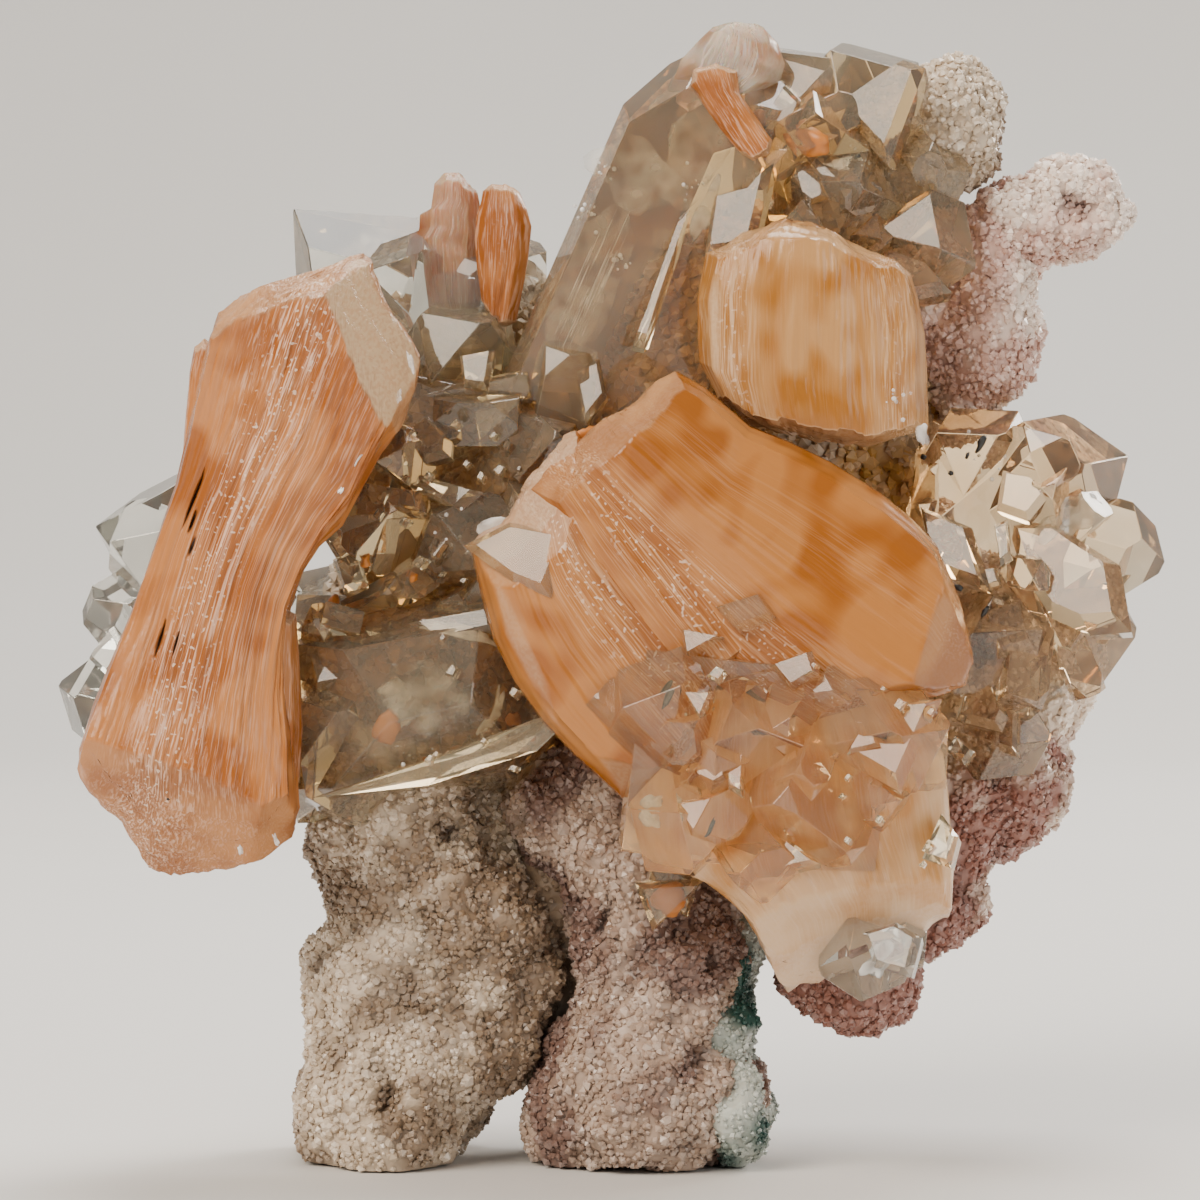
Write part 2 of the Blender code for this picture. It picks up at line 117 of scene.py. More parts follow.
def closed_points(grid):
    """The points of a closed tube, from a grid whose first and last rows are poles."""
    return np.concatenate(
        [grid[0].mean(axis=0)[None], grid[1:-1].reshape(-1, grid.shape[-1]), grid[-1].mean(axis=0)[None]]
    )


def swollen_masses(masses, rows=110, around=150, swell=1.0):
    """The skin over some rounded masses, as a function of two angles about their middle:
    along each ray it lies at the furthest crossing with any mass, softened where they meet."""
    middles = np.array([mass[0] for mass in masses], float)
    radii = np.array([mass[1] for mass in masses], float)
    centre = middles.mean(axis=0)
    tilt = np.linspace(0, math.pi, rows)[:, None]
    turn = np.linspace(0, 2 * math.pi, around, endpoint=False)[None, :]
    ray = np.stack(
        [np.sin(tilt) * np.cos(turn), np.sin(tilt) * np.sin(turn), np.cos(tilt) + 0 * turn], -1
    )
    along = ray[..., None, :] / radii
    offset = (centre - middles) / radii
    a = (along**2).sum(-1)
    b = (along * offset).sum(-1)
    c = (offset**2).sum(-1) - 1
    inside = b * b - a * c
    reach = np.where(inside > 0, (-b + np.sqrt(np.maximum(inside, 0))) / a, 0)
    reach = np.maximum(reach, 0.5)
    distance = (reach**7).sum(-1) ** (1 / 7)
    return centre + ray[::-1] * distance[::-1, :, None] * swell


QUARTZ_SIDES = 5         # a real point has six; one fewer keeps the crusts light
SKIN_LUMPS = ((8.0, 0.8), (3.4, 0.5), (1.4, 0.24))     # width and height of a lump, in mm
PIT_WIDTH = 4.2
PIT_DEPTH = 2.6
GRAIN_LEAN = 0.42        # how far quartz points lean from the skin's normal
QUARTZ_IOR = 1.54


def druse(grid, spacing, seed, size=(0.34, 0.70), zones=(), floor=None):
    """A crust of quartz points on a skin: the skin is pushed out and in by lumps of three
    sizes, then many-sided double pyramids stand on it at random, leaning a little from its
    normal, one for each square of the spacing. Where the lumps sink the skin and in its pits,
    a hollow mark paints shade. Each zone is a middle, a radius and an amount, and adds to the
    stain mark, fading to nothing at its radius; some zones paint the shade of a recess there."""
    rng = np.random.default_rng(seed)
    rows, around = grid.shape[:2]
    outward = np.cross(np.roll(grid, -1, 1) - np.roll(grid, 1, 1), np.gradient(grid, axis=0))
    outward /= np.linalg.norm(outward, axis=-1, keepdims=True) + 1e-9
    rise = sum(waves(grid, width, seed + n) * height for n, (width, height) in enumerate(SKIN_LUMPS))
    pits = np.clip(waves(grid, PIT_WIDTH, seed + 9) - 0.9, 0, 0.7)
    grid = grid + outward * (rise - PIT_DEPTH * pits)[..., None]
    if floor is not None:
        grid[..., 2] = np.maximum(grid[..., 2], floor)
    # Painted shade: darker where the lumps sink the skin and in the pits.
    hollow_shade = np.clip(0.32 - rise * 0.30 + pits * 1.3, 0, 1)
    stain_and_shade = 0.5 + 0.42 * waves(grid, 6.0, seed + 12) + 0.16 * waves(grid, 2.0, seed + 13)
    for middle, radius, amount in zones:
        near = np.clip(1 - np.linalg.norm(grid - np.array(middle), axis=-1) / radius, 0, 1)
        stain_and_shade = stain_and_shade + amount * near
    points = closed_points(grid)
    faces = closed_faces(rows, around)
    marks = closed_points(np.stack([hollow_shade, np.clip(stain_and_shade, 0, 1)], -1))
    quads = faces[0]
    corner = points[quads]
    area_normal = np.cross(corner[:, 2] - corner[:, 0], corner[:, 3] - corner[:, 1]) / 2
    area = np.linalg.norm(area_normal, axis=1)
    pick = rng.choice(len(quads), int(area.sum() / spacing**2), p=area / area.sum())
    if floor is not None:
        pick = pick[corner[pick, 0, 2] > floor + 0.3]
    count = len(pick)
    u, v = rng.random((2, count, 1))
    chosen = corner[pick]
    foot = (
        chosen[:, 0] * (1 - u) * (1 - v) + chosen[:, 1] * u * (1 - v)
        + chosen[:, 2] * u * v + chosen[:, 3] * (1 - u) * v
    )
    axis = area_normal[pick] / area[pick][:, None] + rng.normal(size=(count, 3)) * GRAIN_LEAN
    axis /= np.linalg.norm(axis, axis=1, keepdims=True)
    side = np.cross(axis, rng.normal(size=(count, 3)))
    side /= np.linalg.norm(side, axis=1, keepdims=True)
    other = np.cross(axis, side)
    tall = rng.uniform(*size, (count, 1)) * rng.uniform(0.75, 1.3, (count, 1))
    wide = tall * rng.uniform(0.56, 0.84, (count, 1))
    angle = np.arange(QUARTZ_SIDES) * 2 * math.pi / QUARTZ_SIDES
    ring = (
        foot[:, None] + axis[:, None] * (tall * 0.38)[:, None]
        + side[:, None] * np.cos(angle)[None, :, None] * wide[:, None]
        + other[:, None] * np.sin(angle)[None, :, None] * wide[:, None]
    )
    grains = np.concatenate(
        [(foot - axis * tall * 0.4)[:, None], ring, (foot + axis * tall)[:, None]], axis=1
    )
    if floor is not None:
        grains[..., 2] = np.maximum(grains[..., 2], floor)
    here = np.arange(QUARTZ_SIDES)
    there = (here + 1) % QUARTZ_SIDES
    low = np.stack([0 * here, there + 1, here + 1], -1)
    high = np.stack([0 * here + QUARTZ_SIDES + 1, here + 1, there + 1], -1)
    one = np.concatenate([low, high])
    each = QUARTZ_SIDES + 2
    grain_faces = (len(points) + np.arange(count)[:, None, None] * each + one[None]).reshape(-1, 3)
    shared = np.repeat(marks[quads[pick]].mean(axis=1), each, axis=0)
    marks = np.concatenate([marks, shared])
    values = {
        "grain": np.concatenate([np.full(len(points), 0.35), np.repeat(rng.random(count), each)]),
        "hollow_shade": marks[:, 0],
        "stain_and_shade": marks[:, 1],
    }
    all_points = np.concatenate([points, grains.reshape(-1, 3)]) * MM
    return all_points, [quads, np.concatenate([faces[1], grain_faces])], values


def shader_of(material):
    """The material's node tree and its Principled shader."""
    material.use_nodes = True
    return material.node_tree, material.node_tree.nodes["Principled BSDF"]


def add_node(tree, kind, **settings):
    """A node of the given kind, with its own settings."""
    node = tree.nodes.new(kind)
    for key, value in settings.items():
        setattr(node, key, value)
    return node


def noise(tree, vector, scale, detail=2.0, rough=0.55):
    """A noise texture on the given coordinates; its Fac output."""
    node = add_node(tree, "ShaderNodeTexNoise")
    node.inputs["Scale"].default_value = scale
    node.inputs["Detail"].default_value = detail
    node.inputs["Roughness"].default_value = rough
    tree.links.new(vector, node.inputs["Vector"])
    return node.outputs["Fac"]


def ramp(tree, value, low, high, to_low=0.0, to_high=1.0):
    """A value stretched from one range to another and held at its ends."""
    node = add_node(tree, "ShaderNodeMapRange", clamp=True)
    for label, number in (("From Min", low), ("From Max", high), ("To Min", to_low), ("To Max", to_high)):
        node.inputs[label].default_value = number
    tree.links.new(value, node.inputs["Value"])
    return node.outputs["Result"]


MIX_AMOUNT, MIX_FIRST, MIX_SECOND = 0, 6, 7     # the Mix node's sockets for colours
MIX_RESULT = 2


def blend_colours(tree, amount, first, second):
    """Two colours, each a socket or a plain colour, mixed by the amount that a socket gives."""
    node = add_node(tree, "ShaderNodeMix", data_type="RGBA")
    tree.links.new(amount, node.inputs[MIX_AMOUNT])
    for index, given in ((MIX_FIRST, first), (MIX_SECOND, second)):
        if isinstance(given, bpy.types.NodeSocket):
            tree.links.new(given, node.inputs[index])
        else:
            node.inputs[index].default_value = (*given, 1.0)
    return node.outputs[MIX_RESULT]


def maths(tree, operation, first, second=None):
    """One sum on one or two values, each a socket or a plain number."""
    node = add_node(tree, "ShaderNodeMath", operation=operation)
    for index, given in enumerate((first, second)):
        if isinstance(given, bpy.types.NodeSocket):
            tree.links.new(given, node.inputs[index])
        elif given is not None:
            node.inputs[index].default_value = given
    return node.outputs[0]


def attribute(tree, name, output="Fac"):
    """A value stored on the mesh, point by point."""
    return add_node(tree, "ShaderNodeAttribute", attribute_name=name).outputs[output]


def new_group(name, colours=(), numbers=(), outputs=("Color", "Roughness", "Height")):
    """An empty shader group with named inputs and outputs, and its two end nodes."""
    tree = bpy.data.node_groups.new(name, "ShaderNodeTree")
    for label in colours:
        tree.interface.new_socket(label, in_out="INPUT", socket_type="NodeSocketColor")
    for label in numbers:
        tree.interface.new_socket(label, in_out="INPUT", socket_type="NodeSocketFloat")
    for label in outputs:
        kind = "NodeSocketColor" if label == "Color" else "NodeSocketFloat"
        tree.interface.new_socket(label, in_out="OUTPUT", socket_type=kind)
    return tree, add_node(tree, "NodeGroupInput").outputs, add_node(tree, "NodeGroupOutput").inputs


def make_crust_group():
    """Shader group for the quartz crust: clean colour on the points, the patch colour where the
    stain mark is high (stains, and painted shade in a recess), dark painted shade in hollows
    and pits, and a brighter or darker tone for each grain."""
    tree, given, out = new_group("quartz_crust", ("Clean", "Patch", "Hollow"))
    place = add_node(tree, "ShaderNodeTexCoord").outputs["Object"]
    speck = noise(tree, place, 1100, 0)
    grain = attribute(tree, "grain")
    patchy = ramp(tree, attribute(tree, "stain_and_shade"), 0.25, 0.75)
    colour = blend_colours(tree, patchy, given["Clean"], given["Patch"])
    # Painted shade: the hollow mark, with fine specks, blends towards the dark hollow colour.
    depth = maths(tree, "ADD", attribute(tree, "hollow_shade"), maths(tree, "MULTIPLY", speck, 0.35))
    colour = blend_colours(tree, ramp(tree, depth, 0.62, 1.35), colour, given["Hollow"])
    tone = add_node(tree, "ShaderNodeHueSaturation")
    tree.links.new(ramp(tree, grain, 0.0, 1.0, 0.80, 1.25), tone.inputs["Value"])
    tree.links.new(ramp(tree, grain, 0.0, 1.0, 1.15, 0.75), tone.inputs["Saturation"])
    tree.links.new(colour, tone.inputs["Color"])
    tree.links.new(tone.outputs["Color"], out["Color"])
    tree.links.new(ramp(tree, grain, 0.0, 1.0, 0.50, 0.22), out["Roughness"])
    tree.links.new(speck, out["Height"])
    return tree


CRUST_GROUP = make_crust_group()


def finish_with(name, group_tree, values, bump_strength=0.0, bump_size=0.0):
    """A material whose colour, gloss and bump come from a group with the given values."""
    material = bpy.data.materials.new(name)
    tree, shader = shader_of(material)
    group = add_node(tree, "ShaderNodeGroup", node_tree=group_tree)
    for label, value in values.items():
        group.inputs[label].default_value = (*value, 1) if isinstance(value, tuple) else value
    if bump_strength:
        bump = add_node(tree, "ShaderNodeBump")
        bump.inputs["Strength"].default_value = bump_strength
        bump.inputs["Distance"].default_value = bump_size * MM
        tree.links.new(group.outputs["Height"], bump.inputs["Height"])
        tree.links.new(bump.outputs["Normal"], shader.inputs["Normal"])
    tree.links.new(group.outputs["Color"], shader.inputs["Base Color"])
    tree.links.new(group.outputs["Roughness"], shader.inputs["Roughness"])
    return material, shader


def crust_finish(name, clean, patch, hollow_shade):
    """The quartz crust in one set of colours."""
    # The hollow colour is the painted shade of hollows and pits.
    values = {"Clean": clean, "Patch": patch, "Hollow": hollow_shade}
    material, shader = finish_with(name, CRUST_GROUP, values, bump_strength=0.6, bump_size=0.25)
    shader.inputs["IOR"].default_value = QUARTZ_IOR
    return material


def crust(name, parts, finish, node=None):
    """A quartz crust as a piece, with a flat face on every grain."""
    place_piece(name, lay_mesh(name, *parts, smooth=False), finish, node)


# In every crust below, the hollow colour is painted shade.
HONEY_CRUST = crust_finish(
    "honey_crust", clean=(0.60, 0.49, 0.37), patch=(0.52, 0.31, 0.11), hollow_shade=(0.16, 0.09, 0.04)
)

# Masses that swell together to make the core: middle and radii, in mm.
CORE_MASSES = [
    ((-18.6, 16.3, 50), (14, 13, 13)),
    ((-12.6, 18.3, 64), (14, 13, 14)),
    ((1.4, 18.3, 50), (16, 14, 14)),
    ((3.4, 18.3, 66), (16, 14, 16)),
    ((19.4, 18.3, 52), (15, 13, 14)),
    ((21.4, 18.3, 67), (14, 13, 14)),
    ((9.4, 18.3, 83), (14, 11, 13)),
    ((24.4, 16.3, 82), (10, 10, 11)),
    ((21.4, 15.3, 94), (9, 8, 9)),
    ((-13.6, 18.3, 79), (11, 9, 9)),
]
core_parts = druse(
    swollen_masses(CORE_MASSES, 120, 150, swell=0.94), spacing=0.80, seed=11, size=(0.6, 1.3),
    zones=(
        ((-14, -9, 66), 17, 1.2), ((12, -9, 66), 20, 1.2),
        ((22, -7, 92), 13, 1.0), ((36, -7, 56), 13, 0.8),
    ),
)
crust("matrix_core_crust", core_parts, HONEY_CRUST, "matrix_core")


# The left leg: a broad stem of the matrix with the cleanest, palest crust, cut flat at its
# foot so that the specimen stands. A thin wall at the back joins it to the next leg. Painted
# shade darkens the leg's right side, in the recess by the centre leg, and the whole wall.

END_ROWS = 16            # rows that close each end of a stem to a point
SMOOTHING = 9            # rows over which the limits of a stem are smoothed


def column(table, count=110, around=140):
    """A stem as an outline carried up its height: each table row gives a height and the left,
    right, front and back limits there, and an ellipse fills them. The ends close to a point."""
    table = np.array(table, float)
    level = np.linspace(table[0, 0], table[-1, 0], count)
    limits = np.stack([np.interp(level, table[:, 0], table[:, k]) for k in range(1, 5)], -1)
    kernel = np.hanning(SMOOTHING) / np.hanning(SMOOTHING).sum()
    margin = SMOOTHING // 2
    padded = np.pad(limits, ((margin, margin), (0, 0)), mode="edge")
    limits = np.stack([np.convolve(padded[:, k], kernel, "valid") for k in range(4)], -1)
    inward = np.sqrt(np.linspace(0, 1, END_ROWS, endpoint=False))
    scale = np.concatenate([inward, np.ones(count), inward[::-1]])[:, None]
    limits = np.pad(limits, ((END_ROWS, END_ROWS), (0, 0)), mode="edge")
    level = np.pad(level, END_ROWS, mode="edge")
    turn = np.linspace(0, 2 * math.pi, around, endpoint=False)[None]
    left, right, front, back = limits.T[..., None]
    x = (left + right) / 2 + (right - left) / 2 * np.cos(turn) * scale
    y = (front + back) / 2 + (back - front) / 2 * np.sin(turn) * scale
    return np.stack([x, y, level[:, None] + 0 * x], -1)


def merged(*shells):
    """Shells, each with its points, faces and values, put together as one."""
    points, faces, values = zip(*shells)
    shifts = np.cumsum([0] + [len(each) for each in points])
    kinds = [[each + shift for each, shift in zip(kind, shifts)] for kind in zip(*faces)]
    together = {key: np.concatenate([each[key] for each in values]) for key in values[0]}
    return np.concatenate(points), [np.concatenate(kind) for kind in kinds], together


# Its dark patch colour paints stains, and also painted shade on the left leg's recess and wall.
CREAM_CRUST = crust_finish(
    "cream_crust", clean=(0.62, 0.51, 0.39), patch=(0.28, 0.20, 0.135), hollow_shade=(0.12, 0.075, 0.045)
)
LEFT_LEG = [
    (0, -29.5, -15, -6, 17),
    (2, -31.5, -13.6, -7.4, 18),
    (5.3, -32.4, -12, -8, 18.4),
    (8, -31.8, -9.5, -8, 18.6),
    (11, -31, -7.6, -7.2, 18.8),
    (15.3, -31.2, -6.2, -6, 18.8),
    (18.6, -31.9, -5.4, -5.4, 18.8),
    (20.9, -31.2, -5.2, -5, 18.8),
    (22.6, -29.2, -5.2, -4.8, 19),
    (25.2, -28, -5.6, -4.6, 19),
    (28.9, -28.3, -7, -4.4, 19),
    (31.9, -30, -9.6, -4, 19),
    (36, -30.4, -10.6, -3, 19.6),
    (42, -29, -8, 0, 21),
]
BACK_WALL = [
    (9, -12, -1, 7, 16),
    (12, -14, 0, 6, 17),
    (20, -14, 1, 5, 18),
    (30, -14, 1, 4, 19),
    (40, -14, 0, 3, 20),
]
left_leg_parts = merged(
    druse(
        column(LEFT_LEG), spacing=0.555, seed=23, floor=0.0,
        # The first zone is painted shade in the recess at the leg's right side.
        zones=(((-6, -3, 19), 15, 1.0), ((-18, -8, 9), 8, 0.35), ((-31, 0, 14), 12, -0.6)),
    ),
    # Painted shade: this zone darkens the whole wall.
    druse(column(BACK_WALL, 40, 50), spacing=1.0, seed=27, zones=(((-6, 4, 20), 30, 1.0),)),
)
crust("leg_left_crust", left_leg_parts, CREAM_CRUST, "leg_left")


# The centre leg: the stem beside it, with the same quartz crust stained mauve-brown. It is
# cut flat in the same plane as the left leg.
MAUVE_CRUST = crust_finish(
    "mauve_crust", clean=(0.46, 0.34, 0.265), patch=(0.20, 0.12, 0.095), hollow_shade=(0.07, 0.04, 0.032)
)
CENTRE_LEG = [
    (0, -5.8, 12, -8.6, 16),
    (1.5, -7.4, 14, -10, 17),
    (4, -8.2, 15.4, -10.8, 17.4),
    (7.5, -7.6, 15.6, -10.6, 17.6),
    (11.5, -5.8, 13.8, -9.8, 17.8),
    (15.3, -4.4, 12.8, -8.8, 18),
    (18.6, -3.9, 13.2, -8, 18.2),
    (22, -4.2, 14.4, -7.4, 18.6),
    (26, -4.8, 13.6, -6.6, 18.8),
    (29.9, -6.4, 11.6, -6, 19.2),
    (33, -9, 9.6, -5.2, 19.6),
    (36, -10.6, 9.4, -4, 20),
    (42, -9, 12, -1, 21),
]
centre_leg_parts = druse(
    column(CENTRE_LEG), spacing=0.53, seed=31, floor=0.0,
    zones=(((11, -7, 25), 9, 0.9), ((3, -10, 8), 12, -0.55), ((12, -6, 3), 8, 0.6), ((-2, -5, 31), 8, -0.3)),
)
crust("leg_centre_crust", centre_leg_parts, MAUVE_CRUST, "leg_centre")


# The right lobe: a stem that hangs free at the lower right, cream above and stained
# pink-brown towards its tip.
PINK_CRUST = crust_finish(
    "pink_crust", clean=(0.80, 0.67, 0.55), patch=(0.32, 0.15, 0.115), hollow_shade=(0.10, 0.04, 0.03)
)
LOBE_MASSES = [
    ((37.4, 16.3, 50), (13, 13, 12)),
    ((35.4, 14.3, 38), (12, 12, 11)),
    ((28.9, 10.3, 27), (10, 11, 9)),
    ((23.7, 5.3, 19), (7, 9, 6.5)),
]
lobe_parts = druse(
    swollen_masses(LOBE_MASSES, 120, 130, swell=0.93), spacing=0.58, seed=43,
    zones=(((24, 4, 18), 22, 0.9), ((40, 8, 34), 9, 0.7), ((48, 8, 50), 14, -0.8)),
)
crust("lobe_right_crust", lobe_parts, PINK_CRUST, "lobe_right")


# The knob at the upper right: the round, pale end of a short stem that grew out of the core.
# Its crust is as clean as the left leg's.
KNOB_MASSES = [
    ((34.6, 10.3, 104.6), (5.4, 6.5, 6.4)),
    ((30.4, 11.3, 101), (6, 6.5, 6)),
    ((26.4, 13.3, 97), (6, 6, 6)),
]
knob_parts = druse(
    swollen_masses(KNOB_MASSES, 80, 90, swell=0.96), spacing=0.50, seed=53,
    zones=(((31, 4, 99), 7, 0.6), ((36, 6, 106), 9, -0.7)),
)
crust("knob_crust", knob_parts, CREAM_CRUST, "knob_top_right")


# The right branch: a pink stem that forks into an arm reaching up and out, with a broken
# whitish end.
TRUNK_MASSES = [
    ((37.4, 12.3, 82), (6, 7, 6.5)),
    ((36.9, 12.3, 89.5), (6.3, 7, 6.5)),
    ((30.4, 14.3, 88), (7, 7, 8)),
    ((36, 12.3, 76), (3, 3.5, 4.5)),
]
ARM_MASSES = [
    ((42.4, 11.3, 94.5), (4.6, 5, 4.6)),
    ((46.4, 11.3, 97), (4.6, 5, 4.6)),
    ((48.2, 11.3, 94.6), (4.2, 5, 4.2)),
    ((38.5, 11.8, 91), (4.6, 5, 4.6)),
]
ROSE_CRUST = crust_finish(
    "rose_crust", clean=(0.84, 0.71, 0.62), patch=(0.64, 0.42, 0.35), hollow_shade=(0.18, 0.07, 0.06)
)
BRANCH_STAINS = (((47.5, 8, 98.5), 4.5, -0.9), ((37, 6, 78), 9, 0.3), ((50, 8, 92), 5, 0.35))
branch_parts = merged(
    druse(swollen_masses(TRUNK_MASSES, 80, 100, swell=0.96), 0.52, 61, zones=BRANCH_STAINS),
    druse(swollen_masses(ARM_MASSES, 70, 90, swell=0.96), 0.52, 67, zones=BRANCH_STAINS),
)
crust("branch_right_crust", branch_parts, ROSE_CRUST, "branch_right")


# The left stilbite: a bow-tie sheaf of hundreds of thin orange blades grown side by side,
# pinched at the waist and fanned at both ends, with silky lines along every blade.

def unit_box(across, through, along, cap):
    """A closed tube over the surface of a box from -1 to 1: the middle rows run round its
    four sides and the rows of each cap run in to the middle of an end."""
    line_a = np.linspace(-1, 1, across, endpoint=False)
    line_b = np.linspace(-1, 1, through, endpoint=False)
    rim_a = np.concatenate([line_a, np.ones(through), -line_a, -np.ones(through)])
    rim_b = np.concatenate([-np.ones(across), line_b, np.ones(across), -line_b])
    inward = np.linspace(0, 1, cap, endpoint=False)
    scale = np.concatenate([inward, np.ones(along), inward[::-1]])
    level = np.concatenate([-np.ones(cap), np.linspace(-1, 1, along), np.ones(cap)])
    a = scale[:, None] * rim_a[None]
    return np.stack([a, scale[:, None] * rim_b[None], level[:, None] + 0 * a], -1)


def along_line(corners, share):
    """Points at a share, from 0 to 1, of the length of a line through the given corners."""
    corners = np.array(corners, float)
    reach = np.concatenate([[0], np.cumsum(np.linalg.norm(np.diff(corners, axis=0), axis=1))])
    reach /= reach[-1]
    return np.stack([np.interp(share, reach, corners[:, 0]), np.interp(share, reach, corners[:, 1])], -1)


def between_edges(edges, u, v):
    """Points of a patch with four curved edges (left, right, low, high, each a line in x and
    z): the blend of both pairs of edges, less the blend of the four corners."""
    left, right, low, high = edges
    u, v = u[..., None], v[..., None]
    sides = (1 - u) * along_line(left, v[..., 0]) + u * along_line(right, v[..., 0])
    ends = (1 - v) * along_line(low, u[..., 0]) + v * along_line(high, u[..., 0])
    corners = (
        (1 - v) * ((1 - u) * np.array(left[0]) + u * np.array(right[0]))
        + v * ((1 - u) * np.array(left[-1]) + u * np.array(right[-1]))
    )
    return sides + ends - corners


BLADE_WIDTH = 1.9                           # mm across a ridge of blades
FINE_WIDTH = 0.75
SWELL_WIDTH = 5.0
STEP_CELL = np.array([0.9, 0.7, 9.0])       # the blade ends step in cells of this size, in mm


def sheaf(edges, depth, thick, width, seed, blades=0.3, bevel=(0.16, 0.10), crown=0.12, tip=0.0,
          facets=(), slits=(), bundles=((0.0, 3.0, 0.5),), ends=(0.6, 0.6),
          across=110, through=24, along=130, cap=14):
    """A stilbite sheaf: a box surface whose outline is a patch between four edges, so that its
    blades fan as the edges do. It is depth back from the front (at its low and its high end),
    and its half thickness grows from the waist (second value) to the low and high ends.
    Its faces crown, its rims are bevelled, blades stand proud as long ridges, the ends are
    stepped blade by blade, and facets cut it flat, each given as a point, a normal and how
    pale the cut face is. Slits are gaps pressed in and darkened with painted shade (place
    across, place along, half width, half length), bundles are where the silky threads gather
    (place, width, strength), and ends says how pale the low and high ends are."""
    box = unit_box(across, through, along, cap)
    a, b, s = box[..., 0], box[..., 1], box[..., 2]
    rim = np.clip((np.abs(b) - 0.3) / 0.7, 0, 1)
    u = (a * (1 - bevel[0] * rim) + 1) / 2
    v = (s * (1 - bevel[1] * rim) + 1) / 2
    flat = between_edges(edges, u, v)
    flare = np.abs(s) ** 1.7
    half = np.where(s < 0, thick[0], thick[2]) * flare + thick[1] * (1 - flare)
    half = half * (1 - crown * a * a - tip * s**4)
    y = depth[0] + (depth[1] - depth[0]) * (s + 1) / 2 + b * half
    mean = np.array([a * width / 2, b * half * 1.4, s * 0.9]).transpose(1, 2, 0)
    ridge = (
        np.abs(waves(mean, BLADE_WIDTH, seed)) * 0.5 + np.abs(waves(mean, FINE_WIDTH, seed + 1)) * 0.32
        + waves(mean, SWELL_WIDTH, seed + 2) * 0.4
    ) * blades
    step_at = np.round(mean / STEP_CELL) * STEP_CELL * (1, 1, 0)
    step = waves(step_at, BLADE_WIDTH, seed + 3) * blades * 0.9
    across_way = between_edges(edges, np.ones_like(v), v) - between_edges(edges, np.zeros_like(v), v)
    across_way /= np.linalg.norm(across_way, axis=-1, keepdims=True)
    along_way = between_edges(edges, u, np.ones_like(v)) - between_edges(edges, u, np.zeros_like(v))
    along_way /= np.linalg.norm(along_way, axis=-1, keepdims=True)
    slit = np.zeros_like(a)
    for at_a, at_s, half_width, half_length in slits:
        near = 1 - ((a - at_a) / half_width) ** 2 - ((s - at_s) / half_length) ** 2
        slit = np.maximum(slit, np.clip(near, 0, 1) * (b < -0.9))
    push = np.stack([a**9, b**9], -1)
    push /= np.linalg.norm(push, axis=-1, keepdims=True) + 1e-9
    flat = flat + across_way * (push[..., 0] * ridge)[..., None] + along_way * (s**15 * step)[..., None]
    y = y + push[..., 1] * ridge + slit * 0.6
    points = np.stack([flat[..., 0], y, flat[..., 1]], -1)
    pale = np.where(s < 0, ends[0], ends[1]) * np.clip((np.abs(s) - 0.985) / 0.015, 0, 1)
    for at, normal, paleness in facets:
        normal = np.array(normal, float) / np.linalg.norm(normal)
        beyond = np.maximum(((points - np.array(at)) * normal).sum(-1), 0)
        pale = np.maximum(pale, paleness * np.clip(beyond / 0.35, 0, 1))
        points = points - (beyond * 0.965)[..., None] * normal
    cloud = 0.5 + 0.34 * waves(points, 6.0, seed + 5) + 0.2 * waves(points, 2.2, seed + 6)
    bundle = sum(strength * np.exp(-((a - at) / wide) ** 2) for at, wide, strength in bundles)
    left_way = along_way[len(a) // 2, 0]
    face_turn = across_way[len(a) // 2, 0, 0] * left_way[1] - across_way[len(a) // 2, 0, 1] * left_way[0]
    faces = closed_faces(*a.shape)
    if face_turn < 0:
        faces = [face[:, ::-1] for face in faces]
    values = {"fan": closed_points(np.stack([a * width / 2, b * half, s], -1))}
    for label, mark in (("cloud", cloud), ("slit", slit), ("end", pale), ("bundle", bundle)):
        values[label] = closed_points(np.clip(mark, 0, 1)[..., None])[:, 0]
    return closed_points(points) * MM, faces, values


# Colour of painted glints: bright points among the silky threads.
PAINTED_GLINT_TONE = (0.88, 0.70, 0.55)
# Colour of painted shade in the slits.
SLIT_SHADE_TONE = (0.05, 0.025, 0.015)
STILBITE_IOR = 1.50
GLOW_DEPTH = 3.2         # mm that light passes into a sheaf that glows


def stretched_noise(tree, vector, stretch, detail, rough):
    """Noise on coordinates multiplied by a stretch along each axis."""
    node = add_node(tree, "ShaderNodeVectorMath", operation="MULTIPLY")
    node.inputs[1].default_value = stretch
    tree.links.new(vector, node.inputs[0])
    return noise(tree, node.outputs[0], 1.0, detail, rough)


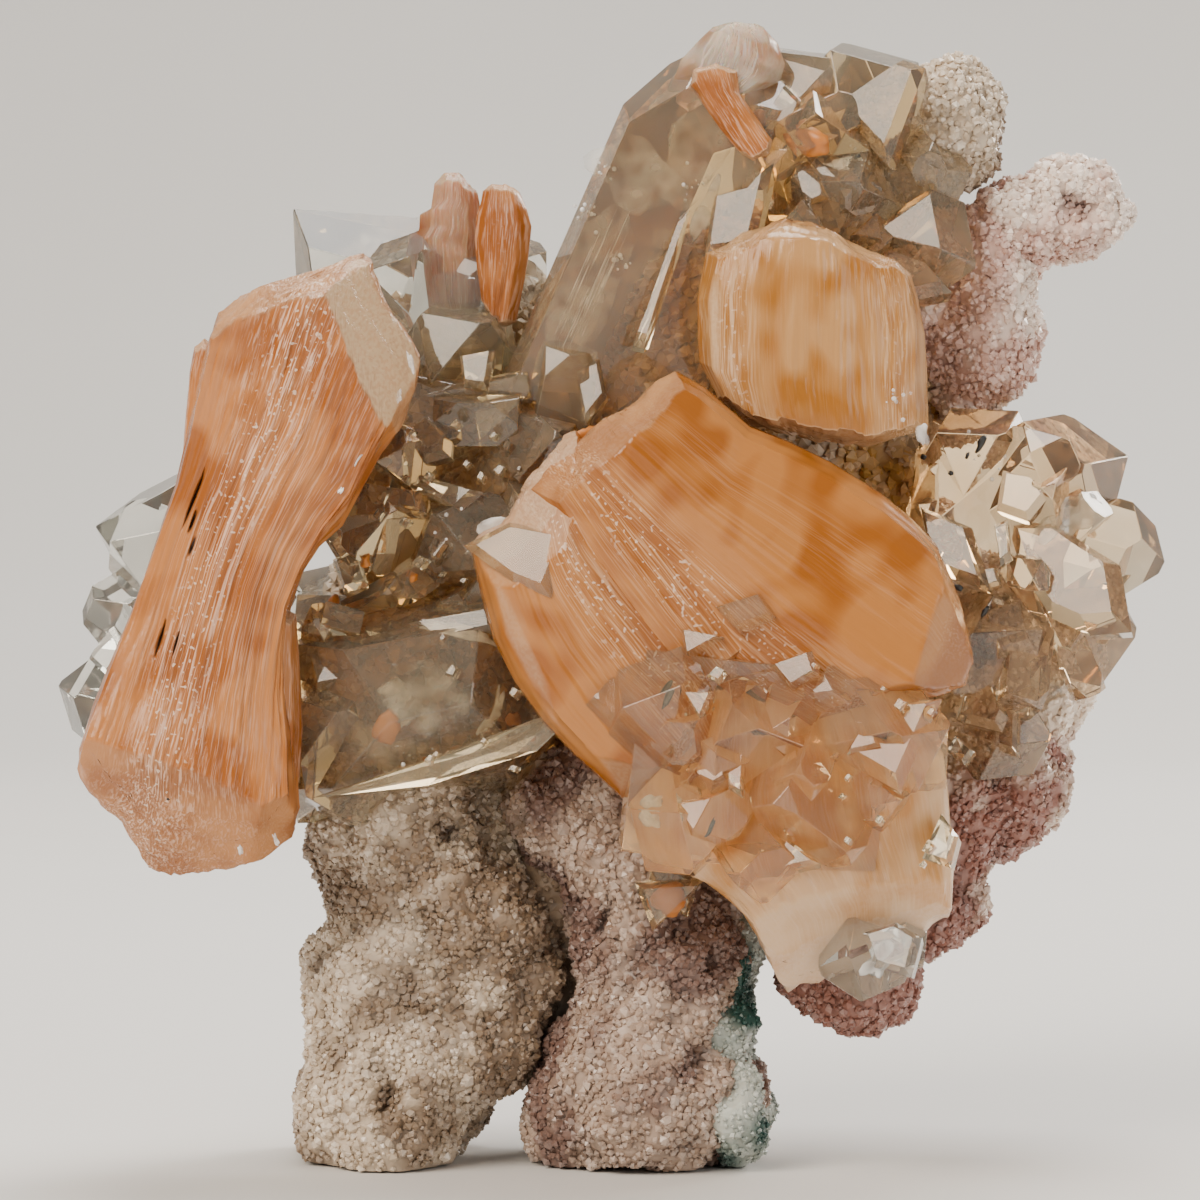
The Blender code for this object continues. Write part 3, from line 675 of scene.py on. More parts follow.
def make_silk_group():
    """Shader group for stilbite: a deep and a light orange in clouds, pale silky threads where the
    blades lie in bundles, their paleness partly painted sheen, with bright points among them as
    painted glints, pale cleaved ends, and slits darkened with painted shade."""
    tree, given, out = new_group("stilbite_silk", ("Deep", "Light", "Sheen Streak", "End"), ("Streaks", "Ends"))
    place = add_node(tree, "ShaderNodeTexCoord").outputs["Object"]
    fan = attribute(tree, "fan", "Vector")
    cloud = attribute(tree, "cloud")
    bundle = attribute(tree, "bundle")
    thread = stretched_noise(tree, fan, (5.5, 2.4, 2.2), 2, 0.6)
    band = stretched_noise(tree, fan, (0.9, 0.6, 0.9), 1, 0.5)
    grit = noise(tree, place, 2600, 0)
    banding = ramp(tree, bundle, 0.0, 1.0, 0.06, 0.6)
    banded = maths(tree, "MULTIPLY", maths(tree, "SUBTRACT", band, cloud), banding)
    mottle = maths(tree, "ADD", cloud, banded)
    shift = maths(tree, "MULTIPLY", ramp(tree, thread, 0.3, 0.7, -0.16, 0.16), bundle)
    mottle = maths(tree, "ADD", mottle, shift)
    colour = blend_colours(tree, ramp(tree, mottle, 0.30, 0.70), given["Deep"], given["Light"])
    # Painted sheen: the pale streak colour along the threads stands partly for silky lustre.
    sheen_streak = maths(tree, "MULTIPLY", ramp(tree, thread, 0.50, 0.60), ramp(tree, band, 0.34, 0.56, 0.15, 1.0))
    sheen_streak = maths(tree, "MULTIPLY", maths(tree, "MULTIPLY", sheen_streak, bundle), given["Streaks"])
    colour = blend_colours(tree, sheen_streak, colour, given["Sheen Streak"])
    chips = maths(tree, "MULTIPLY", attribute(tree, "end"), ramp(tree, grit, 0.35, 0.60, 0.75, 1.0))
    colour = blend_colours(tree, maths(tree, "MULTIPLY", chips, given["Ends"]), colour, given["End"])
    # Painted glints: bright specks scattered in the bundles.
    points = maths(tree, "MULTIPLY", ramp(tree, grit, 0.70, 0.74), ramp(tree, bundle, 0.45, 1.0, 0.0, 0.7))
    points = maths(tree, "MULTIPLY", points, given["Streaks"])
    colour = blend_colours(tree, points, colour, PAINTED_GLINT_TONE)
    # Painted shade: the slits are darkened almost to black.
    colour = blend_colours(tree, ramp(tree, attribute(tree, "slit"), 0.1, 0.7), colour, SLIT_SHADE_TONE)
    tree.links.new(colour, out["Color"])
    silk = maths(tree, "MULTIPLY", thread, bundle)
    tree.links.new(ramp(tree, silk, 0.0, 0.6, 0.20, 0.34), out["Roughness"])
    relief = maths(tree, "MULTIPLY", thread, ramp(tree, bundle, 0.0, 1.0, 0.12, 0.8))
    swell = maths(tree, "MULTIPLY", band, ramp(tree, bundle, 0.0, 1.0, 0.12, 0.5))
    height = maths(tree, "ADD", relief, swell)
    tree.links.new(maths(tree, "ADD", height, maths(tree, "MULTIPLY", grit, 0.05)), out["Height"])
    return tree


SILK_GROUP = make_silk_group()


def silk_finish(name, deep, light, sheen_streak, end, sheen_streaks, ends=1.0, glow=0.0, clear=0.0, lines=0.7):
    """Stilbite in one set of colours. Where it glows, light passes a little way in and comes
    out orange; clear says how much passes right through."""
    # The streak colour is partly painted sheen, and streaks also scales the painted glints.
    values = {"Deep": deep, "Light": light, "Sheen Streak": sheen_streak, "End": end, "Streaks": sheen_streaks, "Ends": ends}
    material, shader = finish_with(name, SILK_GROUP, values, bump_strength=lines, bump_size=0.35)
    shader.inputs["IOR"].default_value = STILBITE_IOR
    shader.inputs["Subsurface Weight"].default_value = glow
    shader.inputs["Subsurface Scale"].default_value = GLOW_DEPTH * MM
    shader.inputs["Subsurface Radius"].default_value = (1.0, 0.50, 0.20)
    shader.inputs["Transmission Weight"].default_value = clear
    return material


def stilbite(name, parts, finish, node, hard=34):
    """A stilbite piece, with hard edges wherever two faces meet at more than an angle."""
    mesh = lay_mesh(name, *parts)
    mesh.set_sharp_from_angle(angle=math.radians(hard))
    place_piece(name, mesh, finish, node)


ROSY_SILK = silk_finish(
    "rosy_silk", deep=(0.31, 0.088, 0.010), light=(0.48, 0.185, 0.052), sheen_streak=(0.76, 0.47, 0.33),
    end=(0.60, 0.42, 0.25), sheen_streaks=1.0,
)
BOWTIE_EDGES = (
    [(-51.8, 42.5), (-50.3, 47.4), (-48.6, 51.6), (-46.5, 56.3), (-44.7, 61), (-43.5, 64.4), (-42.2, 67.9),
     (-41.4, 71.5), (-40.3, 76.5), (-39.2, 81.5), (-38.6, 83)],
    [(-31.1, 36.5), (-31.2, 40.8), (-31.6, 45.3), (-32.4, 49.3), (-32.6, 52.9), (-32.4, 56.5), (-31.2, 59.7),
     (-29.4, 62.3), (-26.8, 64.7), (-24.8, 68.5), (-23, 71.7), (-21, 74.1)],
    [(-51.8, 42.5), (-52, 40.1), (-49.9, 36.7), (-47.7, 35), (-45.8, 30.7), (-42.6, 29.4), (-38.8, 30.7),
     (-34.5, 32), (-31.5, 34.1), (-31.1, 36.5)],
    [(-38.6, 83), (-37.9, 85), (-36.1, 86.5), (-33.6, 87.9), (-29.4, 89.2), (-24.4, 90.5), (-23.6, 89.9),
     (-21.7, 85.8), (-18.7, 80.7), (-19.5, 77.7), (-21, 74.1)],
)
BLADE_EDGES = (
    [(-42, 69.5), (-41.6, 74.5), (-41.2, 79.3), (-40.6, 81.9)],
    [(-39.5, 67.5), (-38.3, 73.5), (-37.8, 78.5), (-37.4, 81.5)],
    [(-42, 69.5), (-41.3, 67.2), (-39.5, 67.5)],
    [(-40.6, 81.9), (-39.8, 82.7), (-37.4, 81.5)],
)
BLOCK_EDGES = (
    [(-36.7, 46.5), (-37, 50.5), (-36.4, 53.3), (-34.8, 55.3)],
    [(-30.6, 39.5), (-30.3, 44.5), (-30.6, 50.5), (-31, 55.5)],
    [(-36.7, 46.5), (-34.5, 40.5), (-30.6, 39.5)],
    [(-34.8, 55.3), (-33, 56.7), (-31, 55.5)],
)
BOWTIE_FACETS = (
    ((-42.0, -20.2, 42.0), (-0.25, -0.74, -0.62), 0.1),
    ((-33.5, -18.9, 37.5), (0.45, -0.62, -0.64), 0.15),
    ((-25.0, -20.6, 80.5), (0.72, -0.66, 0.22), 1.0),
    ((-33.0, -20.2, 87.6), (-0.25, -0.66, 0.70), 0.25),
    ((-23.0, -19.0, 87.6), (0.30, -0.55, 0.78), 0.9),
)
BOWTIE_SLITS = (
    (-0.72, 0.22, 0.024, 0.15), (-0.64, 0.12, 0.020, 0.06), (-0.56, 0.02, 0.018, 0.05),
    (-0.60, -0.36, 0.020, 0.09), (-0.42, -0.34, 0.018, 0.06),
)
bowtie_parts = merged(
    sheaf(BOWTIE_EDGES, (-12.4, -12.7), (8.2, 5.6, 8.4), 22, 101, blades=0.42, crown=0.22,
          facets=BOWTIE_FACETS, slits=BOWTIE_SLITS, bundles=((-0.30, 0.34, 1.0), (0.35, 0.5, 0.35)),
          ends=(0.1, 0.4), across=130, through=30, along=150, cap=18),
    sheaf(BLADE_EDGES, (-11.0, -11.0), (2.6, 2.6, 2.4), 3, 105, blades=0.15, across=24, through=16,
          along=50, cap=8),
    sheaf(BLOCK_EDGES, (-11.5, -11.5), (5.0, 4.6, 4.4), 6, 107, blades=0.2, crown=0.2, across=40,
          through=20, along=50, cap=10),
)
stilbite("left_bowtie", bowtie_parts, ROSY_SILK, "stilbite_bowtie_left")


# The middle stilbite: the largest, two broad sheaves grown through each other with a narrow
# one between them, deep orange and smooth on the right, rosier and lined on the left.
DEEP_SILK = silk_finish(
    "deep_silk", deep=(0.29, 0.086, 0.007), light=(0.42, 0.165, 0.040), sheen_streak=(0.62, 0.36, 0.20),
    end=(0.58, 0.42, 0.28), sheen_streaks=0.8, lines=0.3,
)
RIGHT_SHEAF_EDGES = (
    [(6.3, 79.6), (9.1, 78), (13.6, 74.2), (17.4, 72.7), (21.5, 70.7), (26.3, 67.7), (29.4, 65.1),
     (31.8, 62.5)],
    [(-5, 69.5), (-1, 64.5), (4, 58.5), (9, 52.5), (14, 48), (19, 45.3)],
    [(6.3, 79.6), (4, 78.2), (2.2, 76.3), (-0.2, 75.1), (-3.5, 72.5), (-5, 69.5)],
    [(31.8, 62.5), (33.9, 57.5), (34.8, 54.5), (35.3, 51.5), (34.6, 49.1), (31.5, 48.1), (25.6, 47.3),
     (19, 45.3)],
)
LEFT_SHEAF_EDGES = (
    [(-3.5, 73.5), (1, 66.5), (7, 59.5), (13.5, 50.5)],
    [(-13.6, 62.9), (-12.4, 58), (-11.2, 53.6), (-9.2, 49.4), (-6.4, 45.4), (-3, 41.8), (1.2, 38)],
    [(-3.5, 73.5), (-6.7, 70.7), (-10.3, 64.8), (-13.6, 62.9)],
    [(13.5, 50.5), (11, 45), (5.5, 39.5), (1.2, 38)],
)
MIDDLE_SHEAF_EDGES = (
    [(1.2, 74.0), (6.6, 67.4), (11.8, 61.0), (16.6, 54.4)],
    [(-7.6, 68.2), (-3.0, 61.4), (2.2, 54.4), (8.0, 47.6)],
    [(1.2, 74.0), (-1.6, 73.4), (-5.4, 70.6), (-7.6, 68.2)],
    [(16.6, 54.4), (14.6, 51.0), (11.4, 48.2), (8.0, 47.6)],
)
RIGHT_SHEAF_FACETS = (
    ((4.0, -23.2, 75.5), (-0.55, -0.70, 0.45), 0.3),
    ((24.0, -25.0, 69.0), (0.40, -0.80, 0.52), 0.0),
    ((31.0, -23.8, 54.0), (0.70, -0.72, -0.15), 0.1),
    ((24.0, -23.8, 48.5), (0.05, -0.70, -0.70), 0.1),
)
LEFT_SHEAF_FACETS = (
    ((-9.5, -19.0, 62.0), (-0.50, -0.78, 0.40), 0.3),
    ((-8.5, -19.4, 52.0), (-0.60, -0.78, -0.25), 0.3),
    ((1.0, -19.4, 40.5), (-0.25, -0.74, -0.66), 0.3),
)
centre_parts = merged(
    sheaf(RIGHT_SHEAF_EDGES, (-15.0, -16.0), (8.6, 7.9, 9.2), 21, 111, blades=0.14, crown=0.24, tip=0.06,
          bevel=(0.14, 0.12), facets=RIGHT_SHEAF_FACETS, bundles=((0.75, 0.3, 0.9), (-0.4, 0.25, 0.25)),
          ends=(0.25, 0.0), across=110, through=26, along=120),
    sheaf(LEFT_SHEAF_EDGES, (-14.4, -14.6), (7.0, 7.0, 7.2), 19, 113, blades=0.26, crown=0.22,
          bevel=(0.18, 0.14), facets=LEFT_SHEAF_FACETS, bundles=((-0.3, 0.5, 1.0),), ends=(0.7, 0.2),
          across=110, through=26, along=110),
    sheaf(MIDDLE_SHEAF_EDGES, (-15.6, -16.0), (6.0, 6.2, 6.2), 12, 115, blades=0.22, crown=0.16,
          bevel=(0.3, 0.2), bundles=((0.0, 0.7, 1.0),), ends=(0.2, 0.1), across=56, through=20,
          along=90),
)
stilbite("centre_stilbite", centre_parts, DEEP_SILK, "stilbite_centre")


# The upper block: a short, blunt stilbite sheaf of upright blades, honey-coloured, that sits
# on the core between the large apophyllite and the middle stilbite.
HONEY_SILK = silk_finish(
    "honey_silk", deep=(0.34, 0.128, 0.016), light=(0.48, 0.25, 0.092), sheen_streak=(0.68, 0.46, 0.29),
    end=(0.62, 0.44, 0.27), sheen_streaks=0.8, lines=0.35,
)
UPPER_BLOCK_EDGES = (
    [(10.6, 77.3), (9, 80.4), (8.8, 83.1), (8.7, 86.5), (9.6, 90.8)],
    [(31.1, 74), (31.1, 76.1), (30.8, 83.4), (30.2, 86.5), (29.5, 88.9)],
    [(10.6, 77.3), (13.9, 74.4), (17.6, 73.4), (20.7, 72.8), (25, 72.3), (31.1, 74)],
    [(9.6, 90.8), (13.3, 92.9), (17.3, 94.4), (21.3, 93.5), (25.3, 91.1), (28, 90.5), (29.5, 88.9)],
)
UPPER_BLOCK_FACETS = (
    ((20.0, -14.9, 92.0), (-0.10, -0.66, 0.74), 0.3),
    ((28.0, -14.6, 87.0), (0.50, -0.76, 0.40), 0.2),
    ((11.0, -13.8, 84.0), (-0.62, -0.78, 0.05), 0.8),
)
block_parts = sheaf(
    UPPER_BLOCK_EDGES, (-8.2, -7.4), (7.6, 7.0, 7.0), 21, 121, blades=0.26, crown=0.22, tip=0.08,
    bevel=(0.12, 0.12), facets=UPPER_BLOCK_FACETS, ends=(0.5, 0.3),
    bundles=((-0.8, 0.22, 0.8), (0.8, 0.2, 0.6), (0, 2, 0.08)), across=110, through=26, along=100,
)
stilbite("upper_block", block_parts, HONEY_SILK, "stilbite_block_upper")


# The lower right fan: a broad, thin stilbite sheaf that opens downwards from the middle one,
# thinly grown over the end of the core, peach-coloured and smooth.
FAN_EDGES = (
    [(29, 47.5), (32.8, 42.5), (33.3, 38.2), (33.8, 30.4), (33.6, 27)],
    [(3, 46.5), (1.5, 41), (1.9, 37.7), (2.2, 34.3), (4.5, 31.4), (8.4, 30.3), (12.6, 27.5), (14.7, 24.1)],
    [(29, 47.5), (19, 49.5), (9, 48.5), (3, 46.5)],
    [(33.6, 27), (31.5, 24.9), (29.9, 23.9), (26, 22.7), (22, 20.5), (17.5, 18.5), (14.7, 24.1)],
)
FAN_FACETS = (
    ((24.0, -17.6, 30.0), (0.15, -0.80, -0.55), 0.3),
    ((8.0, -17.4, 35.0), (-0.50, -0.78, -0.40), 0.3),
)
fan_parts = sheaf(
    FAN_EDGES, (-12.0, -10.5), (6.4, 6.0, 7.2), 28, 131, blades=0.34, crown=0.25, tip=0.1,
    facets=FAN_FACETS, bundles=((0.0, 2.0, 0.3),), across=120, through=22, along=100,
)
PEACH_SILK = silk_finish(
    "peach_silk", deep=(0.54, 0.26, 0.08), light=(0.70, 0.45, 0.25), sheen_streak=(0.82, 0.66, 0.49),
    end=(0.72, 0.56, 0.44), sheen_streaks=0.4, ends=0.8, lines=0.2,
)
stilbite("lower_fan", fan_parts, PEACH_SILK, "stilbite_fan_lower_right")


# Two small upright stilbite sheaves at the upper left, side by side on the clear point. One
# is pale and lets some light through, the other is orange.
PALE_SILK = silk_finish(
    "pale_silk", deep=(0.44, 0.17, 0.06), light=(0.60, 0.36, 0.22), sheen_streak=(0.80, 0.66, 0.54),
    end=(0.72, 0.56, 0.42), sheen_streaks=0.9, glow=0.75, clear=0.45, lines=0.5,
)
SMALL = {"across": 44, "through": 20, "along": 60, "cap": 10}
PALE_EDGES = (
    [(-18.5, 84.5), (-19.4, 89.3), (-19.8, 92.4), (-19, 93.4), (-18.9, 95), (-17.8, 95.6), (-17.5, 98.0)],
    [(-13.2, 84.5), (-13, 90.3), (-13, 93.5), (-13.2, 94.6), (-13.3, 96.2), (-13.5, 97.4)],
    [(-18.5, 84.5), (-16, 83.5), (-13.2, 84.5)],
    [(-17.5, 98.0), (-16.4, 99.2), (-15.2, 99.2), (-14.4, 98.0), (-13.5, 97.4)],
)
pale_parts = sheaf(
    PALE_EDGES, (5.3, 5.3), (2.4, 2.4, 1.8), 6, 141, blades=0.2, crown=0.12, bevel=(0.4, 0.1), **SMALL
)
stilbite("pale_sheaf", pale_parts, PALE_SILK, "stilbite_sheaf_pale")
ORANGE_EDGES = (
    [(-12.8, 86.5), (-13.2, 89.5), (-13.4, 92.5), (-13.3, 94.8), (-12.9, 96.0), (-12.6, 97.3)],
    [(-9.5, 84.3), (-8.8, 87.5), (-8.2, 90.5), (-8, 93.8), (-8.5, 95.6), (-9.2, 97.2)],
    [(-12.8, 86.5), (-11.5, 83.4), (-9.5, 84.3)],
    [(-12.6, 97.3), (-11.8, 98.2), (-10.4, 98.1), (-9.2, 97.2)],
)
orange_parts = sheaf(
    ORANGE_EDGES, (2.3, 2.3), (1.8, 2.2, 1.6), 5, 151, blades=0.2, crown=0.12, bevel=(0.4, 0.1), **SMALL
)
stilbite("orange_sheaf", orange_parts, ROSY_SILK, "stilbite_sheaf_orange")


# The pale fan and the little bow-tie: two stilbite sheaves that sit on the top of the large
# apophyllite. The fan is nearly white and lets light through.
TOP_EDGES = (
    [(7.6, 105.3), (6.4, 106.1), (6.4, 108.3), (7.2, 110.3), (9, 112.3), (10.2, 113.5)],
    [(12.5, 106.1), (15, 107.3), (16.8, 108.3), (17.3, 109.9), (16.5, 112), (15.2, 113.5)],
    [(7.6, 105.3), (9.5, 106.3), (12.5, 106.1)],
    [(10.2, 113.5), (12.5, 114.1), (14.2, 114), (15.2, 113.5)],
)
TOP_FACETS = (
    ((8.0, -1.6, 110.0), (-0.55, -0.80, 0.22), 0.0),
    ((13.6, -1.9, 112.6), (0.15, -0.75, 0.64), 0.8),
    ((15.8, -1.6, 109.2), (0.62, -0.76, -0.15), 0.9),
)
top_parts = sheaf(
    TOP_EDGES, (-0.4, 0.2), (2.4, 2.3, 2.2), 9, 161, blades=0.18, crown=0.06, bevel=(0.3, 0.16),
    facets=TOP_FACETS, bundles=((0.2, 0.7, 1.0),), **SMALL,
)
WHITE_SILK = silk_finish(
    "white_silk", deep=(0.62, 0.36, 0.20), light=(0.82, 0.72, 0.60), sheen_streak=(0.92, 0.88, 0.84),
    end=(0.85, 0.72, 0.56), sheen_streaks=1.0, glow=0.75, clear=0.6, lines=0.6,
)
stilbite("top_fan", top_parts, WHITE_SILK, "stilbite_fan_top")
LITTLE_EDGES = (
    [(12.5, 109.1), (12.8, 107), (14.5, 104.5), (16, 102.3)],
    [(8, 107.7), (9.2, 105.9), (11, 103.5), (12.8, 101.2)],
    [(12.5, 109.1), (10.5, 109.9), (8.4, 109.3), (8, 107.7)],
    [(16, 102.3), (15.8, 101), (14.2, 100.3), (12.8, 101.2)],
)
little_parts = sheaf(
    LITTLE_EDGES, (-3.4, -4.4), (1.9, 1.5, 1.8), 4, 171, blades=0.16, crown=0.12, bevel=(0.3, 0.1), **SMALL
)
stilbite("little_bowtie", little_parts, ROSY_SILK, "stilbite_bowtie_top")


# The large apophyllite: one long clear prism with milky veils, capped by pyramid faces.
# A narrow step stands on its front face, and a strip of a side face shows at its left.
PYRAMID_SLOPE = 1.2      # height of a pyramid face for each unit that it cuts in
EDGE_WEAR = 0.07         # width of the worn line along each crystal edge, in mm
SAME_PLACE = 0.002       # corners closer than this are one corner, in mm
CORNERS = 8              # points round a prism: two on each of its four sides
APOPHYLLITE_IOR = 1.535


def turned_to(aim, spin=0.0):
    """Axes that lay the third along aim and keep the first across the view, then turn about
    the aim by spin degrees; one axis in each row."""
    axis = np.array(aim, float)
    axis /= np.linalg.norm(axis)
    across = np.cross((0.0, 1.0, 0.0), axis)
    across /= np.linalg.norm(across)
    toward = np.cross(axis, across)
    turn = math.radians(spin)
    return np.stack([
        across * math.cos(turn) + toward * math.sin(turn),
        toward * math.cos(turn) - across * math.sin(turn),
        axis,
    ])


def written(solid, mesh):
    """A crystal written to a mesh, with all its faces outwards."""
    bmesh.ops.recalc_face_normals(solid, faces=solid.faces)
    solid.to_mesh(mesh)
    solid.free()
    return mesh


def worn_crystal(solid, mesh, wear):
    """A crystal written to a mesh, its flat faces whole and its edges worn to narrow lines."""
    bmesh.ops.dissolve_limit(solid, angle_limit=0.01, verts=solid.verts, edges=solid.edges)
    bmesh.ops.bevel(
        solid, geom=solid.edges[:], offset=wear * MM, segments=1, affect="EDGES", clamp_overlap=True
    )
    return written(solid, mesh)


def prism(middle, size, aim, spin, cuts):
    """An apophyllite: an eight-point profile carried along the c axis, which points along aim.
    Each corner of the square prism is cut back by its own pyramid face, which cuts deeper in
    step with height; where two cuts meet on a side, they share the point where their lines
    cross."""
    width, depth, length = size
    cuts = np.array(cuts, float)
    rate = PYRAMID_SLOPE * width
    half = length / 2
    pairs = cuts + np.roll(cuts, -1)
    levels = np.concatenate([[0.0, half], half - rate * cuts, half - rate * (pairs - 1) / 2])
    levels = np.unique(np.clip(levels, 0, half).round(4))
    levels = np.concatenate([-levels[::-1], levels])
    cut = np.clip(cuts[None] - (half - np.abs(levels))[:, None] / rate, 0, 1)
    ahead = np.roll(cut, -1, axis=1)
    shared = np.clip(cut + ahead - 1, 0, None) / 2
    corners = np.array([(-1, -1), (1, -1), (1, 1), (-1, 1)], float) / 2
    sides = np.roll(corners, -1, axis=0) - corners
    inward = np.stack([-sides[:, 1], sides[:, 0]], -1)
    profile = np.stack([
        corners + sides * t[..., None] + inward * shared[..., None]
        for t in (cut - shared, 1 - ahead + shared)
    ], 2).reshape(len(levels), CORNERS, 2)
    flat = profile * np.array([width, depth])
    height = np.broadcast_to(levels[:, None, None], (*flat.shape[:2], 1))
    tube = np.concatenate([flat, height], -1) @ turned_to(aim, spin) + np.array(middle)
    low, high = tube[0].mean(axis=0), tube[-1].mean(axis=0)
    pole = (1, CORNERS, 3)
    capped = np.concatenate([np.broadcast_to(low, pole), tube, np.broadcast_to(high, pole)])
    mesh = lay_mesh("prism", closed_points(capped) * MM, closed_faces(len(capped), CORNERS), smooth=False)
    solid = bmesh.new()
    solid.from_mesh(mesh)
    bmesh.ops.remove_doubles(solid, verts=solid.verts, dist=SAME_PLACE * MM)
    bmesh.ops.dissolve_degenerate(solid, edges=solid.edges, dist=SAME_PLACE * MM)
    return worn_crystal(solid, mesh, EDGE_WEAR)


KEY_PLACE = (-0.50, -0.62, 0.62)             # where the key light stands, in metres
GLINT = np.array((-0.28, -0.896, 0.343))     # normal of a face that mirrors the key light


def glint(outline, front, lean=(0.0, 0.0), back=3.0):
    """A crystal that shows one flat face: a loft from that face, whose outline is given in x
    and z, to a wider ring behind it and a narrower one at its end. The face mirrors the key
    light unless it leans right or up, and its middle lies at y = front."""
    normal = GLINT + np.array((lean[0], 0.0, lean[1]))
    normal /= np.linalg.norm(normal)
    outline = np.array(outline, float)
    middle = np.insert(outline.mean(axis=0), 1, front)
    off = outline - outline.mean(axis=0)
    face = np.stack([off[:, 0], -(off @ normal[[0, 2]]) / normal[1], off[:, 1]], -1)
    rings = [face * 0, face, face * 1.35 - normal * back * 0.35, face * 1.2 - normal * back,
             face * 0 - normal * back * 1.5]
    tube = np.stack(rings) + middle
    if (off[0, 0] * off[1, 1] - off[0, 1] * off[1, 0]) < 0:
        tube = tube[:, ::-1]
    mesh = lay_mesh("glint", closed_points(tube) * MM, closed_faces(len(tube), len(outline)), smooth=False)
    solid = bmesh.new()
    solid.from_mesh(mesh)
    return written(solid, mesh)


def sparkles(low, high, front, count, seed):
    """Tiny faces scattered between two corners in x and z, each leaning its own way a little,
    some mirroring the key light."""
    rng = np.random.default_rng(seed)
    corners = np.array([(-1, -0.4), (0.1, 0.9), (1, 0.3), (0.2, -1)])
    members = []
    for _ in range(count):
        spot = rng.uniform(low, high)
        size = rng.uniform(0.3, 0.8)
        outline = corners * rng.uniform(0.5, 1.0, (4, 2)) * size + spot
        members.append(glint(outline, front + rng.uniform(-1.2, 1.2), rng.normal(size=2) * 0.10, 1.2))
    return members


def plane_cut(box_low, box_high, planes):
    """A crystal with given faces: a box cut by planes, each a point and its normal."""
    solid = bmesh.new()
    bmesh.ops.create_cube(solid, size=1.0)
    low, high = np.array(box_low), np.array(box_high)
    for corner in solid.verts:
        corner.co = (np.array(corner.co) * (high - low) + (low + high) / 2) * MM
    for point, normal in planes:
        whole = solid.verts[:] + solid.edges[:] + solid.faces[:]
        bmesh.ops.bisect_plane(
            solid, geom=whole, plane_co=np.array(point) * MM, plane_no=normal, clear_outer=True, dist=1e-7
        )
        rim = [edge for edge in solid.edges if edge.is_boundary]
        if rim:
            bmesh.ops.contextual_create(solid, geom=rim)
    return worn_crystal(solid, bpy.data.meshes.new("plane_cut"), EDGE_WEAR * 1.5)


def crowd(middle, radii, count, size, seed, spread=0.8):
    """Small prisms set at random over the front of a rounded mass, pointing outwards."""
    rng = np.random.default_rng(seed)
    out = rng.normal(size=(count, 3))
    out[:, 1] = -np.abs(out[:, 1]) * 0.9
    out /= np.linalg.norm(out, axis=1, keepdims=True)
    members = []
    for ray in out:
        spot = np.array(middle) + ray * np.array(radii)
        aim = ray + rng.normal(size=3) * spread
        wide = rng.uniform(*size)
        cuts = rng.uniform(0.0, 0.6, 4)
        shape = (wide, wide * rng.uniform(0.6, 1.0), wide * rng.uniform(1.1, 2.2))
        members.append(prism(spot, shape, aim, rng.uniform(0, 90), cuts))
    return members


def grown_together(name, meshes):
    """Crystals that overlap, joined in one solid, with flat faces and no walls inside."""
    members = [bpy.data.objects.new(f"{name}_{number}", mesh) for number, mesh in enumerate(meshes)]
    whole = members[0]
    for member in members:
        bpy.context.scene.collection.objects.link(member)
    for other in members[1:]:
        join = whole.modifiers.new(other.name, "BOOLEAN")
        join.operation = "UNION"
        join.solver = "MANIFOLD"
        join.object = other
    bpy.context.view_layer.update()
    graph = bpy.context.evaluated_depsgraph_get()
    mesh = bpy.data.meshes.new_from_object(whole.evaluated_get(graph))
    mesh.name = name
    mesh.shade_flat()
    for member in members:
        bpy.data.objects.remove(member)
    return mesh


def make_glaze_group():
    """Shader group for apophyllite faces: mostly clear, with milky and frosted patches."""
    tree, given, out = new_group("apophyllite_faces", ("Clear", "Milk"), outputs=("Color", "Roughness"))
    place = add_node(tree, "ShaderNodeTexCoord").outputs["Object"]
    veil = noise(tree, place, 150, 2, 0.6)
    colour = blend_colours(tree, ramp(tree, veil, 0.42, 0.66), given["Clear"], given["Milk"])
    tree.links.new(colour, out["Color"])
    tree.links.new(ramp(tree, veil, 0.56, 0.74, 0.004, 0.08), out["Roughness"])
    return tree


GLAZE_GROUP = make_glaze_group()


def crystal_finish(name, clear, milk, depth_colour, density, passes):
    """Apophyllite in one tint: it lets light through, bends it, and tints it with depth."""
    material, shader = finish_with(name, GLAZE_GROUP, {"Clear": clear, "Milk": milk})
    tree = material.node_tree
    shader.inputs["IOR"].default_value = APOPHYLLITE_IOR
    shader.inputs["Transmission Weight"].default_value = passes
    inside = add_node(tree, "ShaderNodeVolumeAbsorption")
    inside.inputs["Color"].default_value = (*depth_colour, 1)
    inside.inputs["Density"].default_value = density
    tree.links.new(inside.outputs["Volume"], tree.nodes["Material Output"].inputs["Volume"])
    return material


def apophyllite(name, meshes, finish, node):
    """A group of apophyllite crystals as one piece."""
    place_piece(name, grown_together(name, meshes), finish, node)


OLIVE_GLASS = crystal_finish(
    "olive_apophyllite", clear=(0.96, 0.88, 0.68), milk=(0.84, 0.73, 0.52),
    depth_colour=(0.84, 0.64, 0.28), density=90.0, passes=0.90,
)
LARGE_FACES = (
    ((-10.4, 0, 79.4), (-0.886, -0.25, 0.390)),
    ((-10.4, 0, 79.4), (-0.75, 0.60, 0.33)),
    ((-5, -5.4, 92), (0.13, -0.99, -0.057)),
    ((1.3, 0, 106), (-0.45, -0.36, 0.82)),
    ((9, -3.4, 107.8), (0.26, -0.58, 0.77)),
    ((6, 6, 107.6), (-0.2, 0.7, 0.68)),
    ((8.4, 4, 71.3), (0.915, 0.1, -0.40)),
    ((12, -5.5, 95), (0.72, -0.66, -0.2)),
    ((-2, 5, 74), (-0.4, 0.0, -0.9)),
)
